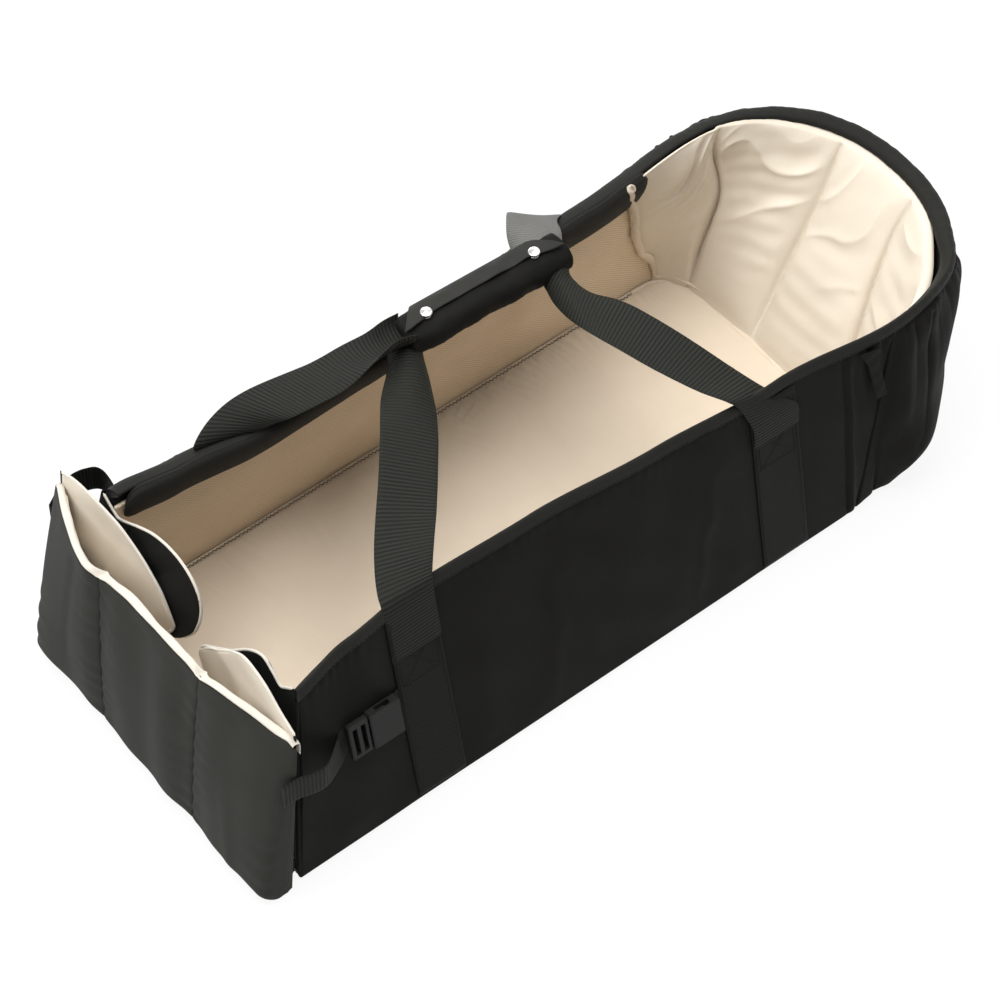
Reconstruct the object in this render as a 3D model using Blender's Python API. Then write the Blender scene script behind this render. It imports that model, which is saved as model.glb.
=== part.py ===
"""Soft carrycot with a drop-down foot end, in metres.

+X points to the head end, +Y to the far side and +Z up. The origin lies on the underside of the base.
"""

import math

import bmesh
import bpy
from mathutils import Matrix, Vector

# Clearances between neighbouring pieces
GAP = 0.0003
STRAP_GAP = 0.0012

# Plan of the base and of the rim
FOOT_X = -0.377
BASE_SEAM_X = 0.240
BASE_HEAD_X = 0.302
BASE_HALF_WIDTH = 0.165
LINER_HEAD_X = 0.290
RIM_FOOT_X = -0.344
HEAD_CENTRE_X = 0.276
HEAD_RIM_REACH = 0.145
HEAD_RIM_HALF_WIDTH = 0.150

# Heights
RIM_HEIGHT = 0.226
HEAD_RIM_HEIGHT = 0.209
FOOT_RIM_DIP = 0.010
BINDING_HEIGHT = 0.012
FLOOR_TOP = 0.020

# Layers of the walls, from outside to inside
WALL_THICKNESS = 0.0183
SHELL_THICKNESS = 0.0055
LINER_THICKNESS = 0.0040
HEAD_LINER_THICKNESS = 0.0070
HEAD_CHANNEL_RISE = 0.0070
GATHER_DEPTH = 0.0045

# Layers of the floor
COVER_THICKNESS = 0.0045
BOARD_THICKNESS = 0.0030
FOAM_THICKNESS = 0.0080
FLOOR_CROWN = 0.0030

# Webbing
WEBBING_WIDTH = 0.050
WEBBING_THICKNESS = 0.0020
FOOT_SLING_X = -0.2255
HEAD_SLING_X = 0.1570
GROOVE_DEPTH = 0.0026
GROOVE_SIDE = 0.0010
OVERRUN = 0.0100

# Padded roll under the rim
ROLL_DEPTH = 0.038
ROLL_THICKNESS = 0.012

# Foot flap
FLAP_HALF_WIDTH = 0.168
FLAP_HEIGHT = 0.206
FLAP_AXIS_X = -0.400
FLAP_AXIS_Z = 0.0192
FLAP_HEM_RADIUS = 0.0189
FLAP_TOP_DEPTH = 0.0060
FLAP_INNER_DEPTH = 0.0123
FLAP_INNER_FOOT = 0.0046
FLAP_CHANNEL_DEPTH = 0.0050
FLAP_SEAM_Y = 0.065
FLAP_WRAP = 0.0160
FLAP_SHELL_THICKNESS = 0.0030
FLAP_LINING_THICKNESS = 0.0025
FLAP_BINDING_HEIGHT = 0.0060
HEM_FOOT = 0.0010
HEM_THICKNESS = 0.0018
HEM_REACH = 0.0110

# Gussets between the walls and the foot flap
GUSSET_THICKNESS = 0.0036
GUSSET_QUILT_DEPTH = 0.0010
APEX_HEIGHT = 0.0050
APEX_INSET = 0.0020
CREASE_TIP_Y = 0.0140
CREASE_TIP_Z = 0.1550
REAR_RADIUS = 0.2140
REAR_SWELL = 0.0240
FRONT_RADIUS = 0.1960

# Handles and the wrap that holds them
WRAP_FOOT = Vector((-0.072, 0.086, 0.240))
WRAP_HEAD = Vector((0.091, 0.080, 0.240))
WRAP_WIDTH = 0.038
WRAP_HEIGHT = 0.027
WRAP_SLOT_WIDTH = 0.0290
WRAP_SLOT_HEIGHT = 0.0106
FOLDED_WIDTH = 0.0270
FOLDED_THICKNESS = 0.0042
LEAF_THICKNESS = 0.0020
LEAF_MARGIN = 0.0020
LEAF_LAND = 0.0022
STUD_RADIUS = 0.0050
STUD_HEIGHT = 0.0008
CAP_RADIUS = 0.0062
CAP_HEIGHT = 0.0020
STUD_INSET = 0.0250
HANDLE_LIFT = 0.0012
LEG_TUCK = 0.0080
HANDLE_BEND_OUT = 0.0034
NEAR_START_PULL = 0.055
NEAR_FOOT_PULL = 0.025
NEAR_HEAD_PULL = 0.032
LEG_PART = 0.004
FAR_START_PULL = 0.020
FAR_FOOT_PULL = 0.070
FAR_HEAD_PULL = 0.016

# Side-release buckles and their straps
BUCKLE_X = -0.289
BUCKLE_Z = 0.125
BUCKLE_WIDTH = 0.040
BUCKLE_THICKNESS = 0.0100
BUCKLE_WALL = 0.0022
BUCKLE_EDGE = 0.0012
SOCKET_LENGTH = 0.031
SOCKET_CAVITY = 0.026
SOCKET_MOUTH = 0.030
WINDOW_START = 0.0085
WINDOW_LENGTH = 0.0140
CLIP_LENGTH = 0.0200
CLIP_THICKNESS = 0.0060
SLOT_LENGTH = 0.0045
BAR_WIDTH = 0.0038
STRAP_TUCK = 0.0080
ARM_LENGTH = 0.0230
ARM_WIDTH = 0.0045
ARM_THICKNESS = 0.0042
ARM_SPREAD = 0.0100
TAB_REACH = 0.0040
SIDE_STRAP_WIDTH = 0.030
SIDE_STRAP_THICKNESS = 0.0016
SIDE_STRAP_Z = 0.150
SIDE_STRAP_BOW = 0.0080
BUCKLE_CLEARANCE = 0.0012

# Hanging tab at the head
TAB_X = 0.262
TAB_WIDTH = 0.020
TAB_LENGTH = 0.062
TAB_THICKNESS = 0.0018
TAB_LIFT = 0.0040

# Shares of the rim's half width to the base's, from the foot to the head seam
RIM_WIDTH_SHARES = (
    (0.0, 0.80),
    (0.09, 0.745),
    (0.22, 0.695),
    (0.40, 0.715),
    (0.60, 0.775),
    (0.80, 0.805),
    (1.0, 0.909),
)
# Shares of the swell along the rear gusset's edge, from the wall to the crease
REAR_SWELL_SHARES = ((0.0, 0.0), (0.35, 0.1), (0.75, 1.0), (1.0, 0.0))

# Share of a side wall over which the rim dips at the foot
DIP_LENGTH_SHARE = 0.16
# Share of the binding's height at which its edges start to round over
BINDING_SHOULDER_SHARE = 0.7
# Shares of a side wall between which its padded roll runs, and of the roll's size at its ends
ROLL_END_SHARES = (0.035, 0.93)
ROLL_TIP_SHARE = 0.4
# Shares of the wall's height at which a sling's rows of points lie
SLING_ROW_SHARES = (1.0, 0.85, 0.7, 0.55, 0.4, 0.25, 0.1)
# Shares across the floor liner's half width, with the share of its crown reached there
CROWN_SHARES = ((0.94, 0.7), (0.80, 0.9), (0.45, 1.0))
# Shares of the way from a gusset's apex to its edge where its cloth starts
FAN_START_SHARE = 0.06
# Shares along the wrap, with the share of its full section there
WRAP_SECTION_SHARES = ((-1, 0.9), (-0.9, 1.0), (0, 1.0), (0.9, 1.0), (1, 0.9))
# Shares of a press stud's radius, with the share of its height there
STUD_SECTION_SHARES = ((1.0, 0.0), (1.0, 0.5), (0.7, 1.0))
# Share of a clip arm between the window's edge and the arm's tip at which its catch ends
CATCH_SHARE = 0.6
# Shares of the hanging tab's length at which its rows of points lie
TAB_ROW_SHARES = (0.0, 0.33, 0.66, 1.0)

# Powers: the head wall's swell at its tip, where 1 is a straight wall; the squareness of the
# base's head end, where 2 is an ellipse; the fullness of a quilted channel between its seams
HEAD_BELLY = 3.0
BASE_SQUARENESS = 3.5
CHANNEL_POWER = 0.7

# Shares of a handle leg at which it has turned off the rim, starts to fold and is folded
TURN_END_SHARE = 0.4
FOLD_START_SHARE = 0.5
FOLD_END_SHARE = 0.9

# How finely the soft surfaces are divided
SIDE_STATIONS = 21
HEAD_STATIONS = 41
SIDE_ROWS = 4
HEAD_ROWS = 7
LEG_POINTS = 11
FLAP_COLUMNS = 25
HEAD_CHANNELS = 6
HEAD_GATHERS = 10
ROLL_SECTIONS = 13
ROLL_SIDES = 10
FLAP_ROWS = 9
GUSSET_RIBS = 3
GUSSET_ROWS = 4
WRAP_SIDES = 20
STUD_SIDES = 12
STRAP_POINTS = 8

FINISHES = {
    "shell_fabric": ((0.012, 0.012, 0.012, 1.0), 0.62, 0.0),
    "flap_fabric": ((0.035, 0.036, 0.034, 1.0), 0.60, 0.0),
    "lining_fabric": ((0.66, 0.58, 0.46, 1.0), 0.85, 0.0),
    "mesh_fabric": ((0.50, 0.41, 0.29, 1.0), 0.90, 0.0),
    "piping_fabric": ((0.80, 0.76, 0.67, 1.0), 0.85, 0.0),
    "webbing": ((0.022, 0.024, 0.021, 1.0), 0.75, 0.0),
    "foam": ((0.85, 0.84, 0.80, 1.0), 0.95, 0.0),
    "board": ((0.25, 0.20, 0.15, 1.0), 0.70, 0.0),
    "buckle_plastic": ((0.020, 0.020, 0.020, 1.0), 0.45, 0.0),
    "snap_metal": ((0.72, 0.72, 0.70, 1.0), 0.28, 1.0),
}


def clear_scene():
    for item in list(bpy.data.objects):
        bpy.data.objects.remove(item, do_unlink=True)


def finish_of(name, node):
    colour, roughness, metallic = FINISHES[name]
    material = bpy.data.materials.new(node + "_" + name)
    material.use_nodes = True
    shader = material.node_tree.nodes["Principled BSDF"]
    shader.inputs["Base Color"].default_value = colour
    shader.inputs["Roughness"].default_value = roughness
    shader.inputs["Metallic"].default_value = metallic
    return material


def put(node, mesh_builder, finish):
    """A named object from a bmesh, with its faces pointing out."""
    bmesh.ops.recalc_face_normals(mesh_builder, faces=mesh_builder.faces)
    mesh = bpy.data.meshes.new(node)
    mesh_builder.to_mesh(mesh)
    mesh_builder.free()
    item = bpy.data.objects.new(node, mesh)
    bpy.context.scene.collection.objects.link(item)
    mesh.materials.append(finish_of(finish, node))
    return item


def slab(node, low, high, finish):
    """A closed solid between two grids of points with the same rows and columns."""
    builder = bmesh.new()
    rows, columns = len(low), len(low[0])
    grids = [[[builder.verts.new(p) for p in row] for row in grid] for grid in (low, high)]
    for side, grid in enumerate(grids):
        for i in range(rows - 1):
            for j in range(columns - 1):
                a, b = grid[i][j], grid[i + 1][j]
                c, d = grid[i + 1][j + 1], grid[i][j + 1]
                corners = ((a, b, c), (a, c, d))
                for triple in corners:
                    builder.faces.new(triple if side else triple[::-1])
    edge = [(i, 0) for i in range(rows)] + [(rows - 1, j) for j in range(1, columns)]
    edge += [(i, columns - 1) for i in range(rows - 2, -1, -1)]
    edge += [(0, j) for j in range(columns - 2, 0, -1)]
    for n, (i, j) in enumerate(edge):
        k, m = edge[(n + 1) % len(edge)]
        a, b = grids[0][i][j], grids[0][k][m]
        c, d = grids[1][k][m], grids[1][i][j]
        builder.faces.new((a, b, c))
        builder.faces.new((a, c, d))
    return put(node, builder, finish)


def loft(node, rings, finish):
    """A closed solid through rings of points."""
    builder = bmesh.new()
    made = [[builder.verts.new(p) for p in ring] for ring in rings]
    count = len(made[0])
    for here, there in zip(made, made[1:]):
        for i in range(count):
            a, b = here[i], here[(i + 1) % count]
            c, d = there[(i + 1) % count], there[i]
            builder.faces.new((a, b, c))
            builder.faces.new((a, c, d))
    builder.faces.new(made[0][::-1])
    builder.faces.new(made[-1])
    builder.normal_update()
    bmesh.ops.triangulate(builder, faces=[f for f in builder.faces if len(f.verts) > 3])
    return put(node, builder, finish)


def block(node, low, high, finish, place=None):
    """A box between two corners, turned and moved by place."""
    builder = bmesh.new()
    bmesh.ops.create_cube(builder, size=1.0)
    low, high = Vector(low), Vector(high)
    for corner in builder.verts:
        share = corner.co + Vector((0.5, 0.5, 0.5))
        corner.co = Vector(a + (b - a) * s for a, b, s in zip(low, high, share))
    if place:
        bmesh.ops.transform(builder, matrix=place, verts=builder.verts)
    return put(node, builder, finish)


def cut(item, cutter):
    """Takes the cutter's shape out of the item."""
    cutter.hide_render = True
    cutter.display_type = "WIRE"
    tool = item.modifiers.new("cut_" + cutter.name, "BOOLEAN")
    tool.operation = "DIFFERENCE"
    tool.object = cutter


def soften(item, width):
    tool = item.modifiers.new("edge", "BEVEL")
    tool.width = width
    tool.segments = 1
    tool.limit_method = "ANGLE"


def along(table, share):
    """Smooth value at a share of the way through a table of (share, value) pairs."""
    for (a, low), (b, high) in zip(table, table[1:]):
        if share <= b:
            t = (share - a) / (b - a)
            return low + (high - low) * t * t * (3 - 2 * t)
    return table[-1][1]


def mix(a, b, share):
    return a + (b - a) * share


# Walls: s runs from -2 at the near foot corner through 0 at the head's tip to 2 at the far foot
# corner, and v from 0 at the bottom to 1 at the top of the rim.


def rim_height(s):
    if abs(s) >= 1:
        toe = max(0, 1 - (2 - abs(s)) / DIP_LENGTH_SHARE)
        return RIM_HEIGHT - FOOT_RIM_DIP * toe * toe
    share = math.cos(s * math.pi / 2)
    return mix(RIM_HEIGHT, HEAD_RIM_HEIGHT, share * share)


def oval(angle, centre_x, reach, half_width, squareness):
    """Point on a half oval whose corners square up as squareness rises above 2."""
    power = 2 / squareness
    c, s = math.cos(angle), math.sin(angle)
    x = centre_x + reach * abs(c) ** power
    return Vector((x, math.copysign(half_width * abs(s) ** power, s), 0))


def end_plane(s, z):
    """X of a side wall's point at height z, between its slanted foot edge and head seam."""
    foot = mix(FOOT_X, RIM_FOOT_X, z / RIM_HEIGHT)
    seam = mix(BASE_SEAM_X, HEAD_CENTRE_X, z / RIM_HEIGHT)
    return mix(foot, seam, 2 - abs(s))


def base_line(s, inset=0.0, head_x=BASE_HEAD_X):
    side = math.copysign(1, s)
    half = BASE_HALF_WIDTH - inset
    if abs(s) >= 1:
        return Vector((mix(FOOT_X, BASE_SEAM_X, 2 - abs(s)), side * half, 0))
    return oval(s * math.pi / 2, BASE_SEAM_X, head_x - BASE_SEAM_X, half, BASE_SQUARENESS)


def rim_line(s, inset=0.0):
    side = math.copysign(1, s)
    if abs(s) >= 1:
        share = 2 - abs(s)
        half = BASE_HALF_WIDTH * along(RIM_WIDTH_SHARES, share) - inset
        return Vector((mix(RIM_FOOT_X, HEAD_CENTRE_X, share), side * half, 0))
    angle = s * math.pi / 2
    return oval(angle, HEAD_CENTRE_X, HEAD_RIM_REACH - inset, HEAD_RIM_HALF_WIDTH - inset, 2)


def belly(s):
    """How far the outer wall swells before it reaches the rim: not at all along the sides."""
    return mix(1, HEAD_BELLY, math.cos(s * math.pi / 2) ** 2) if abs(s) < 1 else 1


def outer_wall(s, v):
    reach = 1 - (1 - min(v, 1)) ** belly(s)
    low, high = base_line(s), rim_line(s)
    point = low.lerp(high, reach)
    point.z = v * rim_height(s)
    if abs(s) >= 1:
        point.x = end_plane(s, point.z)
    else:
        fold = 0.5 - 0.5 * math.cos(2 * math.pi * HEAD_GATHERS * (s + 1) / 2)
        fade = math.sin(math.pi * min(v, 1)) * math.cos(s * math.pi / 2) ** 0.5
        inward = (low.lerp(Vector((HEAD_CENTRE_X - HEAD_RIM_REACH, 0, 0)), 0.5) - point)
        inward.z = 0
        point += inward.normalized() * GATHER_DEPTH * fold * fade
        point.x += GAP
    return point


def inner_wall(s, v):
    low = base_line(s, WALL_THICKNESS, LINER_HEAD_X)
    point = low.lerp(rim_line(s, WALL_THICKNESS), v)
    point.z = mix(FLOOR_TOP + GAP, rim_height(s), v)
    if abs(s) >= 1:
        point.x = end_plane(s, point.z)
    else:
        point.x += GAP + (end_plane(1, point.z) - mix(BASE_SEAM_X, HEAD_CENTRE_X, v)) * s * s
    return point


def from_outside(s, v, depth):
    start, end = outer_wall(s, v), inner_wall(s, v)
    return start + (end - start).normalized() * depth


def from_inside(s, v, depth):
    start, end = outer_wall(s, v), inner_wall(s, v)
    return end + (start - end).normalized() * depth


def wall_top(s):
    return 1 - BINDING_HEIGHT / rim_height(s)


def stations(side):
    """Values of s along one wall; the gap at each seam is left between neighbouring walls."""
    seam = GAP / (BASE_SEAM_X - FOOT_X)
    if side == "head":
        ends = 1 - seam / 2
        return [mix(-ends, ends, i / (HEAD_STATIONS - 1)) for i in range(HEAD_STATIONS)]
    sign = -1 if side == "near" else 1
    return [sign * mix(2, 1 + seam / 2, i / (SIDE_STATIONS - 1)) for i in range(SIDE_STATIONS)]


def wall_layer(node, side, low, high, finish):
    """A layer of a wall between two functions of (s, v)."""
    rows = HEAD_ROWS if side == "head" else SIDE_ROWS
    grids = []
    for surface in (low, high):
        grid = []
        for s in stations(side):
            top = wall_top(s)
            grid.append([surface(s, top * j / (rows - 1)) for j in range(rows)])
        grids.append(grid)
    return slab(node, grids[0], grids[1], finish)


def side_share(x, v):
    """Share of the way along a side wall at which the outer wall reaches x at height share v."""
    start, end = mix(FOOT_X, RIM_FOOT_X, v), mix(BASE_SEAM_X, HEAD_CENTRE_X, v)
    return (x - start) / (end - start)


def side_point(x, v, sign, lift=0.0):
    """Point on a side wall's outer face at x and height share v, lifted off it."""
    s = sign * (2 - side_share(x, v))
    return from_outside(s, v, -lift)


def make_walls():
    for side in ("near", "far"):
        wall_layer(
            side + "_side_shell",
            side,
            outer_wall,
            lambda s, v: from_outside(s, v, SHELL_THICKNESS),
            "shell_fabric",
        )
        wall_layer(
            side + "_side_foam",
            side,
            lambda s, v: from_outside(s, v, SHELL_THICKNESS + GAP),
            lambda s, v: from_inside(s, v, LINER_THICKNESS + GAP),
            "foam",
        )
        wall_layer(
            side + "_mesh_liner",
            side,
            lambda s, v: from_inside(s, v, LINER_THICKNESS),
            inner_wall,
            "mesh_fabric",
        )
    wall_layer(
        "head_shell",
        "head",
        outer_wall,
        lambda s, v: from_outside(s, v, SHELL_THICKNESS),
        "shell_fabric",
    )
    wall_layer(
        "head_wadding",
        "head",
        lambda s, v: from_outside(s, v, SHELL_THICKNESS + GAP),
        lambda s, v: from_inside(s, v, HEAD_LINER_THICKNESS + GAP),
        "foam",
    )
    wall_layer(
        "head_liner",
        "head",
        lambda s, v: from_inside(s, v, HEAD_LINER_THICKNESS),
        quilted_head,
        "lining_fabric",
    )


def quilted_head(s, v):
    """The head liner's face, which swells between its sewn channels."""
    channel = abs(math.sin(math.pi * HEAD_CHANNELS * (s + 1) / 2)) ** CHANNEL_POWER
    swell = math.sin(math.pi * min(1, v)) ** 0.5 if v > 0 else 0.0
    return from_inside(s, v, -HEAD_CHANNEL_RISE * channel * swell)


def make_rim():
    """One bound edge round all the walls, from the near foot corner to the far one."""
    rings = []
    for s in stations("near") + stations("head")[1:-1] + stations("far")[::-1]:
        top = wall_top(s) + GAP / rim_height(s)
        crown = mix(top, 1, BINDING_SHOULDER_SHARE)
        outer = [outer_wall(s, top), outer_wall(s, crown)]
        inner = [inner_wall(s, crown), inner_wall(s, top)]
        ridge = [outer_wall(s, 1).lerp(inner_wall(s, 1), share) for share in (0.25, 0.75)]
        rings.append(outer + ridge + inner)
    loft("rim_binding", rings, "shell_fabric")


def make_roll(side):
    """Padded roll that hangs inside a side wall under the binding, rounded at both ends."""
    sign = -1 if side == "near" else 1
    rings = []
    for i in range(ROLL_SECTIONS):
        share = i / (ROLL_SECTIONS - 1)
        s = sign * (2 - mix(*ROLL_END_SHARES, share))
        top = wall_top(s)
        low = top - ROLL_DEPTH / rim_height(s)
        upper, lower = inner_wall(s, top), inner_wall(s, low)
        down = lower - upper
        inward = Vector((0, -sign, 0))
        full = min(1, ROLL_TIP_SHARE + ROLL_SECTIONS / 2 * min(share, 1 - share))
        centre = upper.lerp(lower, 0.5) + inward * (GAP + STRAP_GAP + ROLL_THICKNESS / 2)
        ring = []
        for k in range(ROLL_SIDES):
            angle = 2 * math.pi * k / ROLL_SIDES
            c, t = math.cos(angle), math.sin(angle)
            across = math.copysign(abs(c) ** CHANNEL_POWER, c) * ROLL_THICKNESS / 2 * full
            drop = math.copysign(abs(t) ** CHANNEL_POWER, t) / 2 * full
            ring.append(centre + inward * across + down * drop)
        rings.append(ring)
    loft(side + "_rim_roll", rings, "shell_fabric")


def floor_outline(z):
    """Outline of a floor layer at height z, inside the walls' slanted feet."""
    share = z / (FLOOR_TOP + GAP)
    values = stations("near") + stations("head")[1:-1:2] + stations("far")[::-1]
    points = []
    for s in values:
        low, high = outer_wall(s, 0), inner_wall(s, 0)
        point = low.lerp(high, share)
        middle = BASE_SEAM_X - BASE_HALF_WIDTH if abs(s) < 1 else point.x
        inward = Vector((middle - point.x, -point.y, 0))
        point += inward.normalized() * (GAP + GAP)
        point.z = z
        points.append(point)
    return points


def make_floor():
    steps = (
        ("base_cover", COVER_THICKNESS, "shell_fabric"),
        ("base_board", BOARD_THICKNESS, "board"),
        ("floor_foam", FOAM_THICKNESS, "foam"),
    )
    z = 0.0
    for node, thickness, finish in steps:
        loft(node, [floor_outline(z), floor_outline(z + thickness)], finish)
        z += thickness + GAP
    lower, upper = floor_outline(z), floor_outline(FLOOR_TOP)
    rings = [lower, upper]
    middle = Vector(((FOOT_X + BASE_SEAM_X) / 2, 0, FLOOR_TOP))
    for share, rise in CROWN_SHARES:
        ring = []
        for p in upper:
            q = Vector((p.x, p.y * share, FLOOR_TOP + FLOOR_CROWN * rise))
            q.x = middle.x + (p.x - middle.x) * mix(1, share, 1 / 3)
            ring.append(q)
        rings.append(ring)
    loft("floor_liner", rings, "lining_fabric")


def make_slings():
    """Webbing under the base and up both walls, let into the underside of the base."""
    for node, middle in (("foot_sling_strap", FOOT_SLING_X), ("head_sling_strap", HEAD_SLING_X)):
        half = WEBBING_WIDTH / 2
        groove = half + GROOVE_SIDE
        reach = BASE_HALF_WIDTH + OVERRUN
        cutter = block(
            node + "_groove",
            (middle - groove, -reach, -OVERRUN),
            (middle + groove, reach, GROOVE_DEPTH),
            "webbing",
        )
        for grooved in ("base_cover", "near_side_shell", "far_side_shell"):
            cut(bpy.data.objects[grooved], cutter)
        outer, inner = [], []
        for x in (middle - half, middle, middle + half):
            lines = ([], [])
            for sign in (-1, 1):
                walk = SLING_ROW_SHARES[::-sign]
                for line, lift in zip(lines, (STRAP_GAP + WEBBING_THICKNESS, STRAP_GAP)):
                    wall = [side_point(x, v, sign, lift) for v in walk]
                    hem = BASE_HALF_WIDTH + lift
                    z = GAP if lift > STRAP_GAP else GAP + WEBBING_THICKNESS
                    corner = [Vector((x, sign * hem, z))]
                    line.extend(wall + corner if sign < 0 else corner + wall)
            outer.append(lines[0])
            inner.append(lines[1])
        slab(node, outer, inner, "webbing")


def flap_wrap(y, z):
    """How far the flap's side panels bend back towards the walls."""
    over = max(0.0, abs(y) - FLAP_SEAM_Y) / (FLAP_HALF_WIDTH - FLAP_SEAM_Y)
    return FLAP_WRAP * over * z / FLAP_HEIGHT


def flap_inner_x(y, z):
    return FLAP_AXIS_X + FLAP_INNER_DEPTH + flap_wrap(y, z)


def flap_outer_x(y, z):
    if z >= FLAP_AXIS_Z:
        depth = mix(FLAP_HEM_RADIUS, FLAP_TOP_DEPTH, (z - FLAP_AXIS_Z) / (FLAP_HEIGHT - FLAP_AXIS_Z))
    else:
        drop = FLAP_AXIS_Z - z
        depth = math.sqrt(max(0.0, FLAP_HEM_RADIUS**2 - drop**2))
    if abs(y) < FLAP_SEAM_Y:
        seam = math.cos(math.pi / 2 * y / FLAP_SEAM_Y)
    else:
        seam = math.sin(math.pi * (abs(y) - FLAP_SEAM_Y) / (FLAP_HALF_WIDTH - FLAP_SEAM_Y))
    pull = FLAP_CHANNEL_DEPTH * (1 - max(0.0, seam) ** 0.6) * min(1, z / FLAP_AXIS_Z)
    return FLAP_AXIS_X - depth + pull + flap_wrap(y, z)


def flap_layer(node, outer, inner, feet, top, finish, rows=FLAP_ROWS):
    """A layer of the flap; each face lies at a share of the flap's depth plus an offset."""
    grids = []
    for share, offset in (outer, inner):
        grid = []
        for i in range(FLAP_COLUMNS):
            y = FLAP_HALF_WIDTH * mix(-1, 1, i / (FLAP_COLUMNS - 1))
            row = []
            for j in range(rows):
                z = mix(mix(*feet, share), top, j / (rows - 1))
                x = mix(flap_outer_x(y, z), flap_inner_x(y, z), share) + offset
                row.append(Vector((x, y, z)))
            grid.append(row)
        grids.append(grid)
    return slab(node, grids[0], grids[1], finish)


def make_flap():
    hem = FLAP_AXIS_Z - FLAP_HEM_RADIUS
    feet = (hem, FLAP_INNER_FOOT)
    top = FLAP_HEIGHT - FLAP_BINDING_HEIGHT - GAP
    shell, lining = FLAP_SHELL_THICKNESS, FLAP_LINING_THICKNESS
    flap_layer("flap_shell", (0, 0), (0, shell), feet, top, "flap_fabric")
    flap_layer("flap_wadding", (0, shell + GAP), (1, -lining - GAP), feet, top, "foam")
    flap_layer("flap_lining", (1, -lining), (1, 0), feet, top, "lining_fabric")
    feet = (top + GAP, top + GAP)
    flap_layer("flap_top_binding", (0, 0), (1, 0), feet, FLAP_HEIGHT, "piping_fabric", rows=3)
    block(
        "flap_hinge_strip",
        (FOOT_X - HEM_REACH, -FLAP_HALF_WIDTH, HEM_FOOT),
        (FOOT_X - GAP, FLAP_HALF_WIDTH, HEM_FOOT + HEM_THICKNESS),
        "shell_fabric",
    )


def wall_foot(z, sign):
    """Point on a side wall's foot edge, at its outer face."""
    v = z / rim_height(2)
    return outer_wall(sign * 2, v)


def fan(node, apex, hinge, crease, radius):
    """A quilted gusset half from its hinge line to its crease line, radius(share) deep."""
    normal = hinge.cross(crease).normalized()
    low, high = [], []
    columns = 4 * GUSSET_RIBS + 1
    for i in range(columns):
        share = i / (columns - 1)
        direction = hinge.slerp(crease, share)
        quilt = abs(math.sin(math.pi * GUSSET_RIBS * share)) ** CHANNEL_POWER
        front, back = [], []
        for j in range(GUSSET_ROWS):
            out = mix(FAN_START_SHARE, 1, j / (GUSSET_ROWS - 1))
            point = apex + direction * radius(share) * out
            half = GUSSET_THICKNESS / 2 + GUSSET_QUILT_DEPTH * (quilt - 1) * out
            front.append(point - normal * half)
            back.append(point + normal * half)
        low.append(front)
        high.append(back)
    slab(node, low, high, "shell_fabric")


def gusset_lines(sign):
    """Apexes, hinge directions and crease directions of the two halves on one side."""
    back = GUSSET_THICKNESS / 2 + GAP
    tilt = (RIM_FOOT_X - FOOT_X) / RIM_HEIGHT
    side = sign * (BASE_HALF_WIDTH - APEX_INSET)
    rear_apex = Vector((end_plane(2, APEX_HEIGHT) - back - GAP, side, APEX_HEIGHT))
    high = wall_foot(REAR_RADIUS, sign)
    wall_line = Vector((0, high.y - side, REAR_RADIUS - APEX_HEIGHT))
    wall_line.x = tilt * wall_line.z
    tip = Vector((0, sign * CREASE_TIP_Y, CREASE_TIP_Z))
    tip.x = rear_apex.x + tilt * (tip.z - APEX_HEIGHT)
    rear_crease = tip - rear_apex
    flap_edge = FLAP_HALF_WIDTH - APEX_INSET - APEX_INSET
    front_apex = Vector((0, sign * flap_edge, APEX_HEIGHT))
    front_apex.x = flap_inner_x(flap_edge, APEX_HEIGHT) + back
    far_up = Vector((0, sign * flap_edge, FRONT_RADIUS))
    far_up.x = flap_inner_x(flap_edge, FRONT_RADIUS) + back
    front_tip = tip - Vector((GUSSET_THICKNESS + GAP + GAP, 0, 0))
    return {
        "rear": (rear_apex, wall_line.normalized(), rear_crease.normalized()),
        "front": (front_apex, (far_up - front_apex).normalized(), (front_tip - front_apex).normalized()),
        "reach": rear_crease.length,
    }


def make_gussets():
    """Both halves of the folded cloth at each foot corner, which meet along a crease."""
    for side, sign in (("near", -1), ("far", 1)):
        lines = gusset_lines(sign)
        reach = lines["reach"]

        def rear_edge(share):
            return mix(REAR_RADIUS, reach, share) + REAR_SWELL * along(REAR_SWELL_SHARES, share)

        def front_edge(share):
            return chord(FRONT_RADIUS, reach, lines["front"][1].angle(lines["front"][2]), share)

        fan(side + "_rear_gusset", *lines["rear"], rear_edge)
        fan(side + "_front_gusset", *lines["front"], front_edge)


def chord(first, second, angle, share):
    """Distance from a corner to the straight line between two points at first and second."""
    turn = angle * share
    across = first * second * math.sin(angle)
    return across / (first * math.sin(turn) + second * math.sin(angle - turn))


def curve_points(start, start_pull, end, end_pull, count):
    """Points on the cubic curve that leaves start along start_pull and reaches end from end_pull."""
    found = []
    for i in range(count):
        t = i / (count - 1)
        a, b = start + start_pull, end + end_pull
        point = start * (1 - t) ** 3 + a * 3 * t * (1 - t) ** 2 + b * 3 * t * t * (1 - t) + end * t**3
        found.append(point)
    return found


def ribbon_rings(points, sides, widths, thicknesses):
    """Rings of a flat strip: at each point a side direction, a width and a thickness."""
    rings = []
    for i, point in enumerate(points):
        ahead = points[min(i + 1, len(points) - 1)] - points[max(i - 1, 0)]
        side = sides[i].normalized()
        normal = side.cross(ahead).normalized()
        side = ahead.cross(normal).normalized()
        w, t = side * widths[i] / 2, normal * thicknesses[i] / 2
        rings.append([point + w + t, point - w + t, point - w - t, point + w - t])
    return rings


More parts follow.
